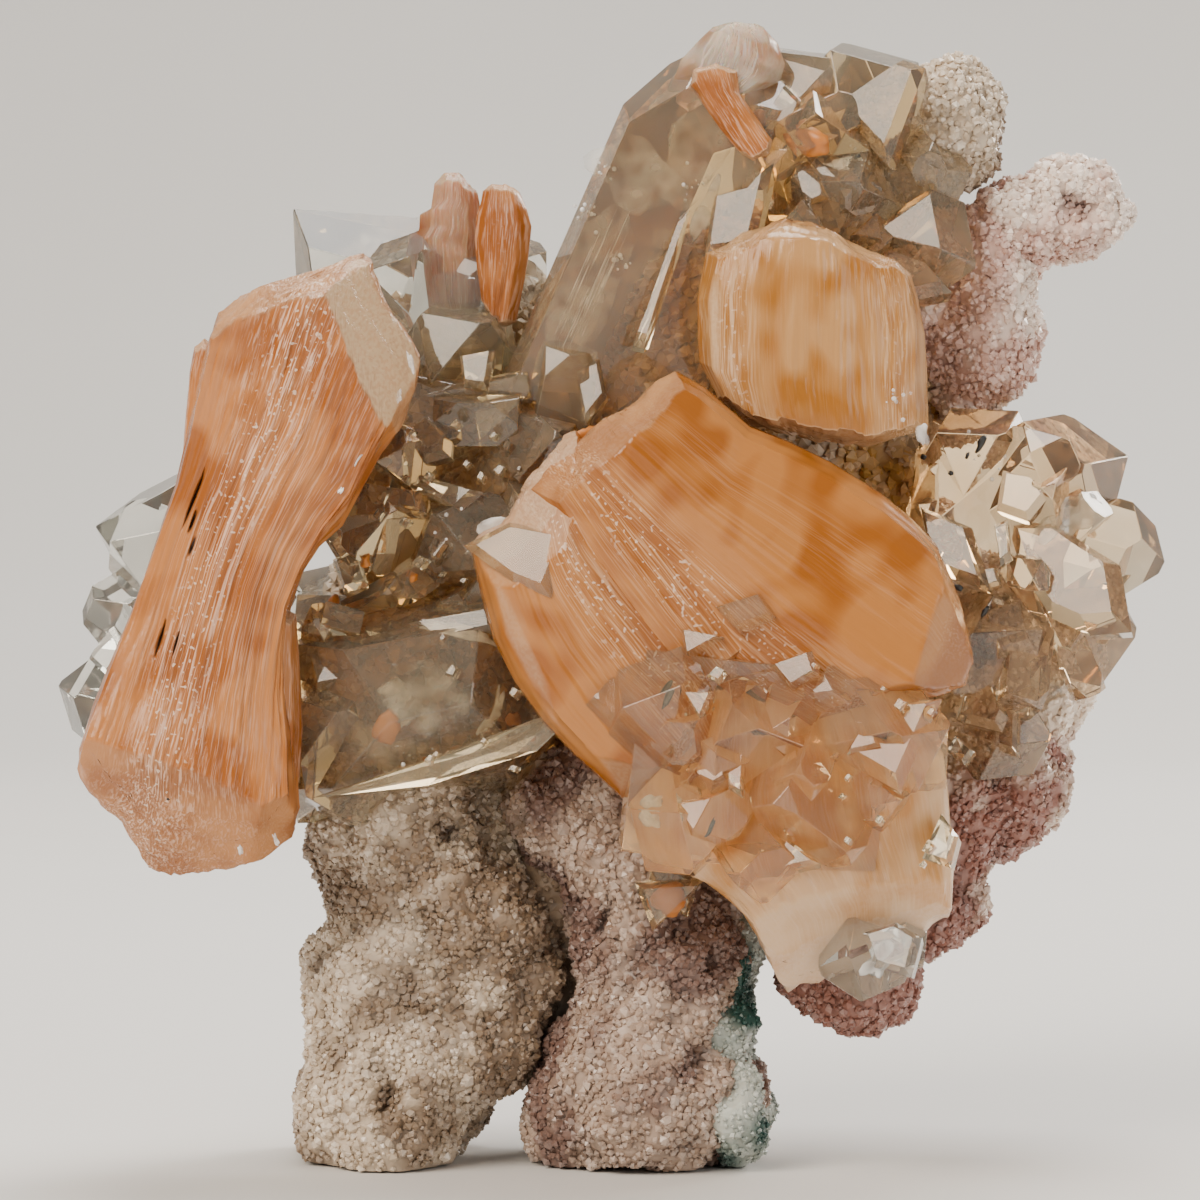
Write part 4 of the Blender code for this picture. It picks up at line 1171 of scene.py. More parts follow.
apophyllite("large_apophyllite", [
    plane_cut((-18, -8, 68), (24, 13, 112), LARGE_FACES),
    glint([(7.6, 95.0), (6.7, 94.2), (3.6, 85.6), (2.7, 83.4), (3.6, 83.2), (5.0, 87.6)],
          -6.2, (0.02, 0.02), 1.6),
    glint([(15.0, 99.2), (13.4, 92.5), (9.9, 92.0), (10.6, 96.8), (13.6, 97.6)], -5.6, (-0.06, 0.04)),
    glint([(-3.2, 79.4), (-1.4, 80.2), (-0.8, 77.4), (-2.4, 75.4)], -5.9, (0.12, 0.0), 2.0),
], OLIVE_GLASS, "apophyllite_large")


# The upper right group: clear crystals crowded round the top of the stems. One face among
# them catches the light as a bright triangle.
apophyllite("upper_right_apophyllites", [
    prism((24.8, 6.3, 102.6), (13, 12, 17), (0.25, -0.15, 0.95), 40, (0.5, 0.6, 0.4, 0.5)),
    prism((18.9, 5.3, 102), (11, 10, 18.5), (0.1, -0.1, 0.99), 20, (0.6, 0.5, 0.7, 0.4)),
    prism((28.4, 5.8, 97.4), (11, 10, 13), (0.5, -0.4, 0.75), 10, (0.5, 0.4, 0.5, 0.6)),
    prism((23.4, 1.8, 96), (10, 9, 13), (-0.1, -0.7, 0.7), 30, (0.5, 0.6, 0.5, 0.4)),
    prism((29.4, 3.6, 91), (9, 8, 14), (0.6, -0.5, 0.3), 15, (0.5, 0.5, 0.6, 0.4)),
    glint([(28.3, 109.9), (29.9, 109.3), (27.1, 102.0), (23.2, 106.4)], -2.6, back=5.0),
    glint([(17.1, 107.5), (18.5, 106.0), (17.7, 104.2), (15.1, 104.3)], -3.0, (0.02, 0.0)),
    glint([(19.1, 101.1), (20.2, 100.8), (22.3, 98.7), (21.5, 98.3)], -3.8, (0.05, 0.02), 2.0),
    glint([(19.4, 96.9), (20.6, 95.4), (20.9, 93.5), (17.5, 94.6)], -3.6, (0.16, 0.08)),
    glint([(26.6, 92.2), (30.3, 91.4), (32.8, 88.4), (29.2, 87.6)], -2.0, (0.18, 0.10), 4.0),
    *crowd((23, 3, 100), (7.5, 6.5, 6.5), 12, (2.4, 5.0), 211),
], OLIVE_GLASS, "apophyllite_cluster_upper_right")


# The clear point behind the left bow-tie: colourless, with a straight edge to the left and
# two smaller crystals grown into its right side.
CLEAR_GLASS = crystal_finish(
    "clear_apophyllite", clear=(0.95, 0.95, 0.92), milk=(0.76, 0.75, 0.70),
    depth_colour=(0.60, 0.60, 0.54), density=60.0, passes=0.92,
)
POINT_FACES = (
    ((-32.1, 10, 95.3), (-0.96, -0.25, -0.10)),
    ((-32.1, 10, 95.3), (-0.45, 0.80, 0.20)),
    ((-21.6, 6, 92.2), (0.05, -0.62, 0.78)),
    ((-24.0, 12, 93.4), (0.06, 0.55, 0.83)),
    ((-26.0, 3.6, 90.0), (-0.20, -0.97, 0.10)),
    ((-20, 10, 79), (-0.30, 0.0, -0.95)),
)
apophyllite("upper_left_point", [
    plane_cut((-34, 2, 74), (-11, 19, 98), POINT_FACES),
    prism((-14.6, 10.6, 84.6), (14, 12, 16), (0.2, -0.3, 0.9), 20, (0.4, 0.5, 0.3, 0.4)),
    prism((-19.6, 6.0, 86.5), (8, 8, 12), (-0.35, -0.4, 0.8), 35, (0.5, 0.4, 0.6, 0.3)),
], CLEAR_GLASS, "apophyllite_point_upper_left")


# Small colourless apophyllites on the left side of the core, which show past the left edge
# of the bow-tie.
apophyllite("far_left_apophyllites", [
    prism((-39.6, 10.3, 56), (14, 12, 26), (-0.5, -0.1, 0.85), 10, (0.5, 0.4, 0.6, 0.5)),
    prism((-45.1, 5.3, 60.6), (9, 8, 10), (-0.3, -0.5, 0.8), 25, (0.5, 0.6, 0.4, 0.5)),
    prism((-47.6, 6.3, 54.6), (10, 9, 11), (-0.9, -0.3, 0.2), 10, (0.8, 0.7, 0.9, 0.8)),
    prism((-47.6, 5.3, 46.5), (9, 8, 14), (-0.85, -0.3, -0.3), 30, (0.6, 0.5, 0.6, 0.7)),
    prism((-31.6, 12.3, 50), (13, 13, 18), (0.9, 0.1, 0.2), 20, (0.3, 0.4, 0.3, 0.2)),
    glint([(-52.0, 51.0), (-50.2, 53.4), (-49.2, 51.6), (-50.4, 49.6)], 0.4),
], CLEAR_GLASS, "apophyllite_cluster_left")


# The blocky group over the left leg: one large crystal with a belt of narrow faces below,
# and smaller ones behind it.
LOWER_LEFT_FACES = (
    ((-18, -13.4, 48), (-0.10, -0.97, 0.21)),
    ((-19.2, -12.4, 53.4), (-0.2, -0.40, 0.89)),
    ((-12.6, -12.6, 50.7), (0.74, -0.66, 0.05)),
    ((-8, -6, 43.5), (0.75, -0.3, -0.6)),
    ((-23.8, -12.8, 49.0), (-0.55, -0.82, -0.12)),
    ((-15, -12.8, 45.4), (0.12, -0.76, -0.64)),
    ((-17.3, -8.6, 39.8), (0.18, -0.30, -0.93)),
    ((-28.4, -7, 37.5), (-0.30, -0.50, -0.80)),
)
apophyllite("lower_left_apophyllites", [
    plane_cut((-31.4, -15, 34), (-5.5, 8, 57), LOWER_LEFT_FACES),
    prism((-26.4, -3.7, 43.5), (11, 11, 15), (-0.1, -0.6, 0.8), 10, (0.4, 0.5, 0.3, 0.4)),
    glint([(-18.8, 55.0), (-12.4, 56.2), (-12.0, 54.8), (-17.0, 53.6)], -12.0, (0.0, 0.12), 2.0),
    glint([(-29.6, 52.0), (-27.0, 52.8), (-26.6, 49.4), (-28.8, 49.0)], -10.0, (0.14, 0.04)),
    glint([(-25.5, 38.7), (-17.0, 39.7), (-9.0, 42.3), (-5.6, 45.6), (-9.2, 44.6), (-17.0, 41.6)],
          -13.0, (0.15, -0.30), 2.0),
    *sparkles((-24, 39), (-7, 55), -13.6, 9, 281),
    *crowd((-24, -4, 52), (6, 6, 5), 8, (2.4, 4.4), 223),
], OLIVE_GLASS, "apophyllite_lower_left")


# The small crystals between the left bow-tie and the middle: a jumble of prisms over the
# core, several with a bright face, and one thin stick.
apophyllite("centre_apophyllites", [
    prism((-13.6, 5.3, 68), (20, 15, 23), (0.1, -0.2, 0.95), 12, (0.4, 0.3, 0.5, 0.4)),
    prism((-18.1, -1.7, 72.5), (9, 8, 11), (0.1, -0.8, 0.6), 30, (0.5, 0.4, 0.6, 0.5)),
    prism((-22.1, -2.2, 64.5), (9, 8, 12), (-0.3, -0.7, 0.5), 10, (0.5, 0.6, 0.4, 0.5)),
    prism((-14.1, -3.7, 62), (10, 8, 13), (0.2, -0.9, 0.3), 20, (0.6, 0.5, 0.4, 0.5)),
    prism((-8.6, -2.7, 70), (9, 8, 12), (0.3, -0.3, 0.9), 40, (0.5, 0.4, 0.5, 0.6)),
    prism((-5.1, -2.7, 76), (5.5, 5.5, 12), (0.2, -0.2, 0.95), 15, (0.4, 0.5, 0.4, 0.3)),
    prism((-13.8, -4.2, 77), (2.6, 2.6, 12), (0.97, -0.1, 0.2), 10, (0.4, 0.3, 0.4, 0.5)),
    prism((-9.6, -4.7, 58), (9, 9, 12), (0.3, -0.7, -0.1), 10, (0.5, 0.5, 0.4, 0.6)),
    prism((-15.6, 3.3, 80), (10, 9, 12), (0.1, -0.3, 0.9), 30, (0.5, 0.4, 0.5, 0.6)),
    glint([(-20.5, 73.6), (-18.2, 74.8), (-16.4, 72.9), (-16.5, 71.8), (-18.4, 71.3)], -8.4, (0.03, 0.0)),
    glint([(-24.2, 68.4), (-19.7, 67.8), (-19.2, 66.2), (-23.4, 66.5)], -8.4, (0.0, 0.03)),
    glint([(-19.3, 69.4), (-13.8, 67.9), (-15.5, 66.4), (-19.6, 68.4)], -8.8, (0.04, 0.0), 2.0),
    glint([(-17.0, 63.8), (-15.6, 63.8), (-17.3, 61.3), (-17.9, 62.2)], -9.9, back=2.0),
    glint([(-14.6, 81.0), (-12.0, 81.5), (-12.5, 78.5), (-14.3, 78.7)], -6.6, (0.16, 0.05)),
    glint([(-13.0, 62.9), (-9.7, 64.6), (-5.0, 63.8), (-6.7, 59.3), (-9.4, 60.3)], -20.6, (0.10, 0.02), 3.5),
    glint([(-27.0, 60.8), (-25.2, 61.6), (-24.4, 59.0), (-26.2, 58.4)], -7.8, (0.2, 0.0)),
    *sparkles((-26, 58), (-9, 78), -9.2, 22, 277),
    *crowd((-15, 0, 67), (12, 8.5, 11), 26, (2.2, 5.0), 227),
], OLIVE_GLASS, "apophyllite_cluster_centre")


# The group at the right edge: broad flat crystals, beige, three of them with large faces
# that catch the light.
BEIGE_GLASS = crystal_finish(
    "beige_apophyllite", clear=(0.97, 0.88, 0.70), milk=(0.88, 0.74, 0.54),
    depth_colour=(0.84, 0.64, 0.36), density=55.0, passes=0.92,
)
apophyllite("right_apophyllites", [
    prism((38.4, 8.3, 59), (18, 15, 28), (0.2, -0.1, 0.95), 15, (0.4, 0.3, 0.5, 0.4)),
    prism((43.6, 4.3, 66.6), (13, 11, 14), (0.45, -0.35, 0.8), 24, (0.5, 0.6, 0.4, 0.5)),
    prism((48.4, 4.8, 60.6), (9, 8, 13), (0.8, -0.3, 0.35), 10, (0.6, 0.7, 0.5, 0.6)),
    prism((37.2, 4.3, 69.0), (9, 9, 12), (-0.1, -0.4, 0.9), 25, (0.5, 0.4, 0.6, 0.5)),
    prism((44.9, 3.3, 55), (11, 10, 13), (0.5, -0.5, -0.3), 35, (0.5, 0.6, 0.4, 0.5)),
    prism((37.9, 1.3, 52), (11, 9, 14), (0.1, -0.8, -0.2), 15, (0.5, 0.4, 0.6, 0.5)),
    prism((38.4, 2.3, 44.5), (9, 8, 12), (0.3, -0.6, -0.6), 10, (0.6, 0.5, 0.6, 0.5)),
    glint([(31.2, 65.5), (34.9, 64.0), (36.2, 59.4), (33.2, 60.4), (31.5, 63.5)], -6.4, back=5.0),
    glint([(40.6, 63.8), (43.9, 63.8), (46.5, 62.0), (48.8, 60.6), (49.5, 55.8), (46.5, 55.5),
           (43.8, 56.7), (41.7, 60.0)], -5.4, back=6.0),
    glint([(39.4, 69.3), (43.7, 68.6), (41.2, 65.6), (38.9, 66.4)], -4.8, (0.12, 0.04)),
    glint([(35.9, 50.5), (37.6, 48.5), (38.6, 46.0), (38.1, 44.9), (34.8, 45.7)], -5.4, back=4.0),
    glint([(38.6, 45.6), (40.0, 45.9), (39.9, 42.2), (38.6, 42.6)], -5.2),
    glint([(34.3, 43.1), (35.7, 41.9), (34.9, 40.9), (33.6, 41.9)], -4.8, back=2.0),
    glint([(36.6, 59.8), (37.9, 60.0), (38.2, 58.8), (37.0, 58.4)], -6.8, back=2.0),
    glint([(38.2, 64.0), (39.2, 64.4), (39.4, 61.6), (38.6, 61.0)], -5.8, (0.05, 0.0), 2.0),
    glint([(37.4, 55.6), (40.4, 56.6), (41.4, 53.0), (38.6, 52.2)], -5.6, (0.2, 0.08), 4.0),
    *crowd((40, 3, 57), (9, 7, 14), 12, (3.0, 6.0), 229),
], BEIGE_GLASS, "apophyllite_cluster_right")


# The amber crystals: a crust of small apophyllites that grew over the lower right fan and
# run into each other. The stilbite beneath them gives them their colour.
AMBER_GLASS = crystal_finish(
    "amber_apophyllite", clear=(1.0, 0.92, 0.72), milk=(0.94, 0.74, 0.46),
    depth_colour=(0.94, 0.70, 0.30), density=70.0, passes=0.92,
)
apophyllite("amber_apophyllites", [
    prism((14.4, -18.2, 42), (25, 8, 20), (0.1, -0.1, 0.99), 4, (0.3, 0.4, 0.3, 0.2)),
    prism((5.4, -21.0, 46.5), (9, 8, 11), (-0.3, -0.6, 0.7), 38, (0.5, 0.4, 0.6, 0.5)),
    prism((24.9, -20.7, 44.5), (12, 9, 12), (0.4, -0.6, 0.6), 15, (0.5, 0.4, 0.5, 0.6)),
    prism((7, -21.2, 36.5), (9, 8, 10), (-0.4, -0.7, -0.3), 15, (0.5, 0.5, 0.6, 0.4)),
    glint([(15.8, 51.7), (18.8, 52.8), (19.3, 51.2), (17.3, 50.0)], -26.6, (0.04, 0.0)),
    glint([(23.1, 43.7), (25.5, 47.4), (30.4, 47.9), (27.3, 41.4)], -26.2, (0.13, 0.05), 5.0),
    glint([(23.0, 43.6), (24.6, 46.2), (25.4, 44.2)], -26.9, back=2.0),
    glint([(15.2, 31.8), (17.0, 34.4), (19.2, 32.8)], -24.8, (0.02, 0.0)),
    glint([(30.6, 33.0), (32.0, 36.2), (33.2, 34.6), (32.6, 32.4)], -19.8),
    glint([(7.2, 49.0), (9.4, 49.0), (8.5, 47.0)], -26.8, (0.03, 0.0), 2.0),
    glint([(7.1, 54.8), (10.2, 54.3), (7.4, 52.8)], -23.4, (0.12, 0.0), 2.5),
    glint([(10.9, 57.3), (14.2, 58.3), (15.2, 56.6), (12.5, 55.6)], -24.2, (0.18, 0.05), 3.0),
    glint([(11.2, 43.6), (12.6, 43.0), (12.4, 39.8), (11.4, 40.4)], -27.2, (0.08, 0.0), 2.0),
    *crowd((14.5, -17.6, 42), (12.5, 7.6, 9.5), 22, (2.4, 6.0), 239),
    prism((12.4, -22.4, 43.0), (9, 7, 12), (0.5, -0.5, 0.7), 25, (0.3, 0.1, 0.5, 0.2)),
    prism((19.4, -22.0, 39.0), (10, 7, 12), (-0.6, -0.5, 0.5), 35, (0.2, 0.5, 0.1, 0.4)),
    *sparkles((3.5, 32), (31, 52), -25.6, 26, 271),
], AMBER_GLASS, "apophyllite_cluster_lower_right")


# Two last apophyllites: the clear crystals grown on the fan's lower tip, and the small brown
# point that stands on the centre leg.
apophyllite("foot_apophyllites", [
    prism((24.6, -12.7, 22.3), (7, 7, 8.4), (0.3, -0.8, -0.3), 20, (0.5, 0.6, 0.5, 0.4)),
    glint([(25.2, 24.8), (27.6, 25.6), (29.4, 24.6), (28.6, 21.8), (26.0, 22.4)], -19.0),
    prism((28.0, -12.2, 22.8), (4.6, 4.6, 6), (0.6, -0.6, 0.2), 10, (0.5, 0.4, 0.6, 0.5)),
], CLEAR_GLASS, "apophyllite_cluster_foot")
apophyllite("brown_point", [
    glint([(3.3, 28.6), (8.6, 28.9), (4.6, 25.0)], -11.4, (0.35, -0.45), 3.0),
    prism((6.4, -7.6, 29.4), (4.6, 4.6, 8.0), (0.3, -0.4, -0.85), 45, (0.8, 0.9, 0.7, 1.0)),
], AMBER_GLASS, "apophyllite_small_point")


# The weathered rock that shows at the right foot of the centre leg: blue-green celadonite
# with a whitish fracture through it, where the quartz crust is broken away.
RIND_MASSES = [
    ((12.6, 0.5, 5.5), (3.8, 9, 5.4)),
    ((11.8, 4.5, 12), (3.2, 8, 6)),
    ((11.4, 5.5, 20), (3.4, 8, 6)),
]
TEAL_CRUST = crust_finish(
    "celadonite", clean=(0.022, 0.075, 0.062), patch=(0.52, 0.55, 0.50), hollow_shade=(0.004, 0.010, 0.009)
)
rind_parts = druse(
    swollen_masses(RIND_MASSES, 90, 110), spacing=0.55, seed=307, size=(0.25, 0.5), floor=0.0,
    zones=(((12, -3, 5.5), 4.6, 1.6), ((16, 2, 9), 2.6, 1.2)),
)
crust("celadonite_rind", rind_parts, TEAL_CRUST)


# What is sealed in the clear crystals: milky veils and fine needles, white healed cracks,
# gas bubbles, orange stilbite flecks and a few black specks. Some white chips on the
# bow-tie's rim are painted glints, the gas bubbles are painted white as glints, and one veil
# under the lower-left crystal's front face paints a pale reflection.

def lens(middle, radii, aim, spin=0.0, wobble=0.0, seed=0, rows=14, around=18):
    """A closed ellipsoid over two angles, long axis along aim, with a wavy surface."""
    tilt = np.linspace(0, math.pi, rows)[::-1, None]
    turn = np.linspace(0, 2 * math.pi, around, endpoint=False)[None]
    ball = np.stack([np.sin(tilt) * np.cos(turn), np.sin(tilt) * np.sin(turn), np.cos(tilt) + 0 * turn], -1)
    swell = 1 + wobble * waves(ball, 0.7, seed)
    return (ball * swell[..., None] * np.array(radii)) @ turned_to(aim, spin) + np.array(middle)


def sealed_in(name, lenses, finish):
    """Lenses put together as one piece, most inside the crystals, some on the stilbite's surface."""
    points = np.concatenate([closed_points(grid) for grid in lenses]) * MM
    quads, caps = closed_faces(*lenses[0].shape[:2])
    shift = np.arange(len(lenses))[:, None, None] * (len(points) // len(lenses))
    faces = [(quads[None] + shift).reshape(-1, 4), (caps[None] + shift).reshape(-1, 3)]
    place_piece(name, lay_mesh(name, points, faces), finish)


def inclusion_finish(name, colour, second, roughness, cover):
    """A cloudy inclusion: two tones, more solid where the noise is high."""
    material = bpy.data.materials.new(name)
    tree, shader = shader_of(material)
    place = add_node(tree, "ShaderNodeTexCoord").outputs["Object"]
    mist = noise(tree, place, 420, 1)
    tree.links.new(blend_colours(tree, mist, colour, second), shader.inputs["Base Color"])
    tree.links.new(ramp(tree, mist, 0.35, 0.7, cover[0], cover[1]), shader.inputs["Alpha"])
    tree.links.new(ramp(tree, mist, 0.3, 0.7, roughness, roughness + 0.15), shader.inputs["Roughness"])
    return material


MIST = inclusion_finish("milky_veil", (0.78, 0.74, 0.62), (0.95, 0.93, 0.88), 0.3, (0.0, 0.30))
# White inclusions; the same finish paints glints on the bow-tie's chips and the gas bubbles.
CRACK_AND_GLINT = inclusion_finish("white_crack_and_glint", (0.80, 0.77, 0.74), (1.0, 0.99, 0.97), 0.15, (0.15, 0.95))
FLECK = inclusion_finish("orange_fleck", (0.55, 0.17, 0.03), (0.70, 0.28, 0.06), 0.3, (0.8, 1.0))
SPECK = inclusion_finish("black_speck", (0.01, 0.01, 0.012), (0.03, 0.03, 0.03), 0.25, (1.0, 1.0))
LARGE_AXIS = (0.403, 0.02, 0.915)
veil_rng = np.random.default_rng(401)
veils = [
    lens((x, y, z), (wide, 0.12, tall), LARGE_AXIS, spin, 0.25, seed)
    for seed, (x, y, z, wide, tall, spin) in enumerate([
        (-1.5, 0.5, 90, 3.2, 6.5, 12), (2.5, -1.0, 99, 4.2, 3.2, -8),
        (-4.0, 0.0, 84, 2.2, 5.0, 5), (8.0, 0.5, 101, 3.2, 4.5, -20),
        # The first veil below lies under the lower-left crystal's front face: painted reflection that
        # lightens it.
        (-18.5, -12.2, 47.6, 4.6, 2.8, 4), (-22, -5, 43, 3.5, 2.4, -15),
    ])
]
sealed_in("milky_veils", veils, MIST)
needle_place = veil_rng.uniform((-4.6, -3.6, 84), (-1.4, 1.0, 93), (26, 3))
needle_place[:, 0] += (needle_place[:, 2] - 86) * 0.44
needles = [
    lens(spot, (0.05, 0.05, veil_rng.uniform(1.2, 4.2)), LARGE_AXIS, rows=8, around=8)
    for spot in needle_place
]
sealed_in("growth_needles", needles, CRACK_AND_GLINT)
cracks = [
    lens(spot, radii, aim, spin, 0.45, 31 + seed)
    for seed, (spot, radii, aim, spin) in enumerate([
        ((-9.6, -12.2, 62.6), (3.0, 0.25, 1.8), (0.3, -0.2, 0.9), 10),
        ((46.6, -1.8, 65.4), (1.5, 0.2, 2.6), (0.5, 0.1, 0.8), 20),
        ((44.6, -1.6, 64.2), (1.1, 0.2, 2.2), (0.7, 0.1, 0.6), -10),
        ((-15.4, -9.6, 53.8), (3.0, 0.2, 0.5), (0.3, -0.1, 0.9), 5),
        ((-12.2, -8.5, 46.0), (0.6, 0.15, 2.0), (0.3, -0.1, 0.9), 5),
        ((-21, -9.0, 47.5), (1.6, 0.12, 1.1), (0.6, -0.1, 0.6), 30),
        ((26.2, -16.6, 22.0), (1.2, 0.2, 1.6), (0.4, -0.1, 0.9), 30),
        ((9.6, -2.0, 95.5), (0.8, 0.15, 2.8), LARGE_AXIS, 15),
        ((30.5, -15.2, 73.5), (0.5, 0.3, 0.9), (0.1, 0, 1), 0),
        ((4.6, -21.5, 37.0), (1.2, 0.2, 0.8), (0.4, 0, 0.9), 20),
        # Painted glints: the lenses from here on are white chips on the bow-tie's rim and ends.
        ((-19.4, -17.6, 80.6), (0.24, 0.4, 0.9), (-0.2, 0.1, 0.9), 0),
        ((-20.6, -17.2, 77.2), (0.2, 0.4, 0.6), (0.1, 0, 0.9), 30),
        ((-21.6, -17.4, 75.0), (0.3, 0.4, 0.5), (0.4, 0, 0.9), 10),
        ((-24.4, -18.6, 71.2), (0.2, 0.3, 0.7), (0.5, 0, 0.8), 0),
        ((-26.2, -18.4, 68.2), (0.2, 0.3, 0.5), (0.5, 0, 0.8), 20),
        ((-25.2, -16.6, 89.4), (0.5, 0.4, 0.25), (0.9, 0, 0.3), 0),
        ((-32.6, -17.8, 34.0), (0.6, 0.3, 0.2), (0.9, 0, 0.3), 10),
        ((-36.0, -18.0, 33.0), (0.5, 0.3, 0.2), (0.9, 0, 0.2), 40),
    ])
]
sealed_in("healed_cracks_and_glint_chips", cracks, CRACK_AND_GLINT)
bubble_places = np.concatenate([
    np.array(centre) + veil_rng.normal(size=(9, 3)) * spread
    for centre, spread in [
        ((-0.5, -3.0, 99.4), 0.7), ((-2.2, -3.4, 94.8), 0.8),
        ((1.3, -3.6, 90.5), 0.7), ((8.2, -3.4, 98.2), 0.9),
        ((24.4, -1.5, 101.2), 1.3), ((-20, -9.5, 42.5), 0.9),
        ((-12.5, -8.0, 42.6), 0.8), ((38, -2, 71), 1.4),
        ((8.8, -23, 47), 1.0), ((28.0, -15.0, 77.0), 0.8),
        ((-14.8, -9.0, 64.0), 1.4), ((-5.0, -7.0, 66.5), 1.0),
    ]
])
# Painted glints: the bubbles are white to stand for the light that they catch.
bubble_glints = [
    lens(spot, np.full(3, veil_rng.uniform(0.08, 0.26)), (0, 0, 1), rows=7, around=8)
    for spot in bubble_places
]
sealed_in("gas_bubble_glints", bubble_glints, CRACK_AND_GLINT)
flecks = [
    lens(spot, radii, (0.3, -0.2, 0.9), 20 * seed, 0.25, 57 + seed, rows=10, around=12)
    for seed, (spot, radii) in enumerate([
        ((-21.9, -10.6, 44.7), (0.9, 0.35, 1.3)), ((-9.9, -8.5, 45.2), (0.9, 0.4, 0.7)),
        ((-18.0, -9.4, 41.2), (0.6, 0.3, 0.5)),
        ((-2.4, -10.6, 72.8), (1.8, 0.9, 1.5)), ((-27.5, -6.2, 56.5), (1.3, 0.5, 1.0)),
        ((-24.2, -7.4, 60.8), (1.2, 0.5, 0.6)),
        ((-19.5, -7.6, 59.2), (0.7, 0.4, 0.4)), ((20.0, -4.0, 102.2), (2.2, 0.8, 1.3)),
        ((14.6, -2.0, 104.4), (1.0, 0.6, 0.9)),
        ((-8.0, -9.6, 57.4), (1.0, 0.5, 0.8)), ((5.9, -10.0, 27.4), (1.7, 1.0, 1.6)),
        ((-5.4, -10.0, 61.0), (0.8, 0.5, 1.0)),
    ])
]
sealed_in("orange_flecks", flecks, FLECK)
specks = [
    lens(spot, radii, (0.4, -0.1, 0.8), 30 * seed, 0.3, 71 + seed, rows=7, around=8)
    for seed, (spot, radii) in enumerate([
        ((34.4, -7.2, 58.1), (0.55, 0.2, 0.3)), ((37.1, -6.6, 55.7), (0.3, 0.2, 0.65)),
        ((36.8, -4.6, 72.3), (0.5, 0.3, 1.1)),
        ((35.4, -5.2, 71.1), (0.5, 0.2, 0.35)), ((33.7, -6.2, 69.4), (0.4, 0.2, 0.25)),
        ((31.0, -6.0, 71.0), (0.3, 0.2, 0.3)),
        ((-43.1, -17.9, 38.0), (0.18, 0.15, 0.12)), ((5.6, -24.8, 48.6), (0.35, 0.3, 1.3)),
        ((9.6, -26.0, 36.0), (0.25, 0.2, 0.9)),
        ((24.6, -2.4, 100.6), (0.6, 0.3, 0.4)), ((-16.8, -10.2, 55.2), (0.2, 0.2, 0.12)),
    ])
]
sealed_in("black_specks", specks, SPECK)


# The stage, which is not part of the specimen: a pale floor that curves up behind, four soft
# studio lights, a dim room round them, and the camera, which looks down a little.
BEND_START = 0.55      # where the floor begins to curve up, in metres behind the middle
BEND_RADIUS = 0.5
WALL_TOP = 1.8
FLOOR_GAP = 0.0002     # the floor lies this far under the foot, so that no faces coincide
FLOOR_FRONT = -1.6
FLOOR_HALF_WIDTH = 2.2
ROWS = 30              # rows of points on the flat part, and as many on the bend
WIDE = 12              # points in a row
bend = np.linspace(0, math.pi / 2, ROWS)
flat_run = np.linspace(FLOOR_FRONT, BEND_START, ROWS)
run = np.concatenate([flat_run, BEND_START + BEND_RADIUS * np.sin(bend)])
lift = np.concatenate([np.zeros(ROWS), BEND_RADIUS * (1 - np.cos(bend))])
lift[-1] = WALL_TOP
floor_x, floor_y = np.meshgrid(np.linspace(-FLOOR_HALF_WIDTH, FLOOR_HALF_WIDTH, WIDE), run)
floor_z = np.repeat(lift[:, None] - FLOOR_GAP, WIDE, axis=1)
floor_points = np.stack([floor_x, floor_y, floor_z], -1).reshape(-1, 3)
row, step = np.meshgrid(np.arange(2 * ROWS - 1), np.arange(WIDE - 1), indexing="ij")
first = row * WIDE + step
floor_faces = np.stack([first, first + 1, first + WIDE + 1, first + WIDE], -1).reshape(-1, 4)
floor = bpy.data.objects.new("floor", lay_mesh("floor", floor_points, [floor_faces]))
bpy.context.scene.collection.objects.link(floor)
paper = bpy.data.materials.new("pale_paper")
paper_tree, paper_shader = shader_of(paper)
paper_place = add_node(paper_tree, "ShaderNodeTexCoord").outputs["Object"]
paper_tone = blend_colours(
    paper_tree, noise(paper_tree, paper_place, 6, 3), (0.70, 0.69, 0.67), (0.76, 0.75, 0.73)
)
paper_tree.links.new(paper_tone, paper_shader.inputs["Base Color"])
paper_shader.inputs["Roughness"].default_value = 0.8
floor.data.materials.append(paper)


def aimed(place, aim):
    """The transform of a light or camera at a place, looking at a point."""
    look = Vector(aim) - Vector(place)
    turn = look.to_track_quat("-Z", "Y").to_matrix().to_4x4()
    turn.translation = Vector(place)
    return turn


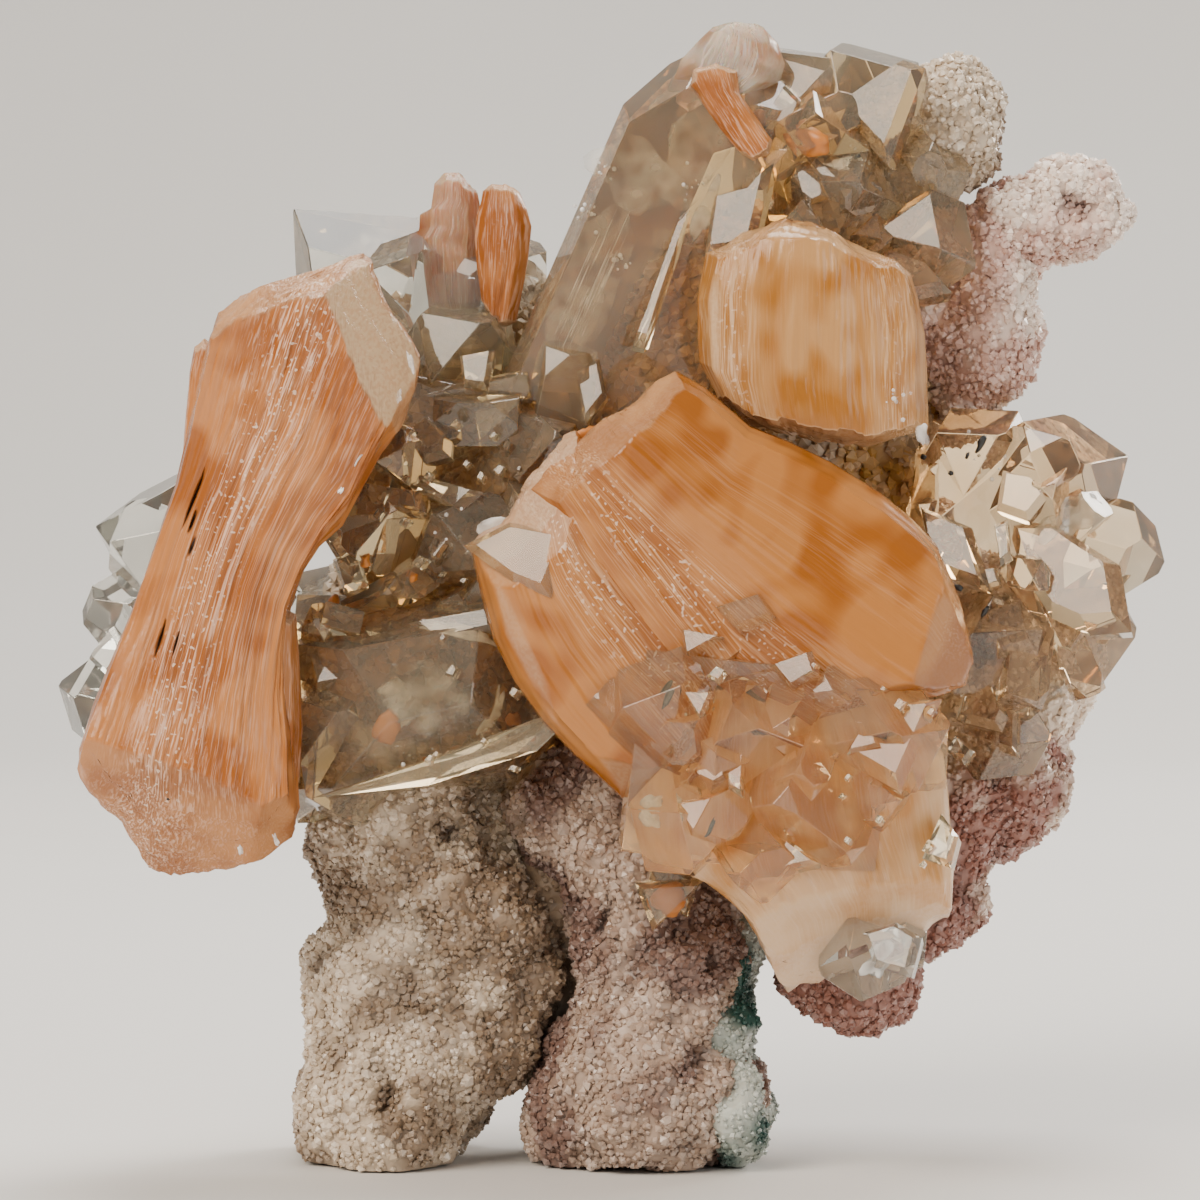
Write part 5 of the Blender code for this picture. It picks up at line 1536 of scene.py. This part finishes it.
def soft_light(name, place, aim, size, power, colour=(1, 1, 1)):
    """A square softbox at a place, turned towards a point."""
    lamp = bpy.data.lights.new(name, "AREA")
    lamp.shape = "SQUARE"
    lamp.size = size
    lamp.energy = power
    lamp.color = colour
    light = bpy.data.objects.new(name, lamp)
    light.matrix_world = aimed(place, aim)
    bpy.context.scene.collection.objects.link(light)


MIDDLE = (0.0, 0.0, 0.056)             # the middle of the specimen, in metres
soft_light("key", KEY_PLACE, MIDDLE, 0.62, 12.5, (1.0, 0.885, 0.75))
soft_light("fill", (0.62, -0.60, 0.28), MIDDLE, 0.45, 2.0, (1.0, 0.96, 0.91))
soft_light("top", (0.05, 0.25, 0.80), MIDDLE, 0.50, 7.5, (1.0, 0.97, 0.93))
soft_light("rim", (0.55, 0.50, 0.40), MIDDLE, 0.30, 5.0, (1.0, 0.93, 0.85))

ROOM_LOW = (0.30, 0.28, 0.26)
ROOM_HIGH = (1.5, 1.46, 1.4)
ROOM_STRENGTH = 0.22
world = bpy.data.worlds.new("room")
bpy.context.scene.world = world
world.use_nodes = True
room = world.node_tree
heading = add_node(room, "ShaderNodeTexCoord").outputs["Generated"]
room_up = add_node(room, "ShaderNodeSeparateXYZ")
room.links.new(heading, room_up.inputs[0])
room_tone = blend_colours(room, ramp(room, room_up.outputs["Z"], -0.35, 0.65), ROOM_LOW, ROOM_HIGH)
room.links.new(room_tone, room.nodes["Background"].inputs["Color"])
room.nodes["Background"].inputs["Strength"].default_value = ROOM_STRENGTH

FRAME_WIDTH = 120 * MM                 # what the view takes in at the specimen
LENS = 200.0                           # focal length and sensor width, in mm
SENSOR = 36.0
DISTANCE = FRAME_WIDTH * LENS / SENSOR
LOOK_AT = (-0.001, 0.0, 0.0565)
RISE = math.radians(3.0)               # how far the camera looks down
camera_data = bpy.data.cameras.new("camera")
camera_data.lens = LENS
camera_data.sensor_width = SENSOR
camera_data.clip_start = 0.01
camera_data.clip_end = 20.0
camera = bpy.data.objects.new("camera", camera_data)
camera.matrix_world = aimed(
    (LOOK_AT[0], LOOK_AT[1] - DISTANCE * math.cos(RISE), LOOK_AT[2] + DISTANCE * math.sin(RISE)), LOOK_AT
)
bpy.context.scene.collection.objects.link(camera)
bpy.context.scene.camera = camera
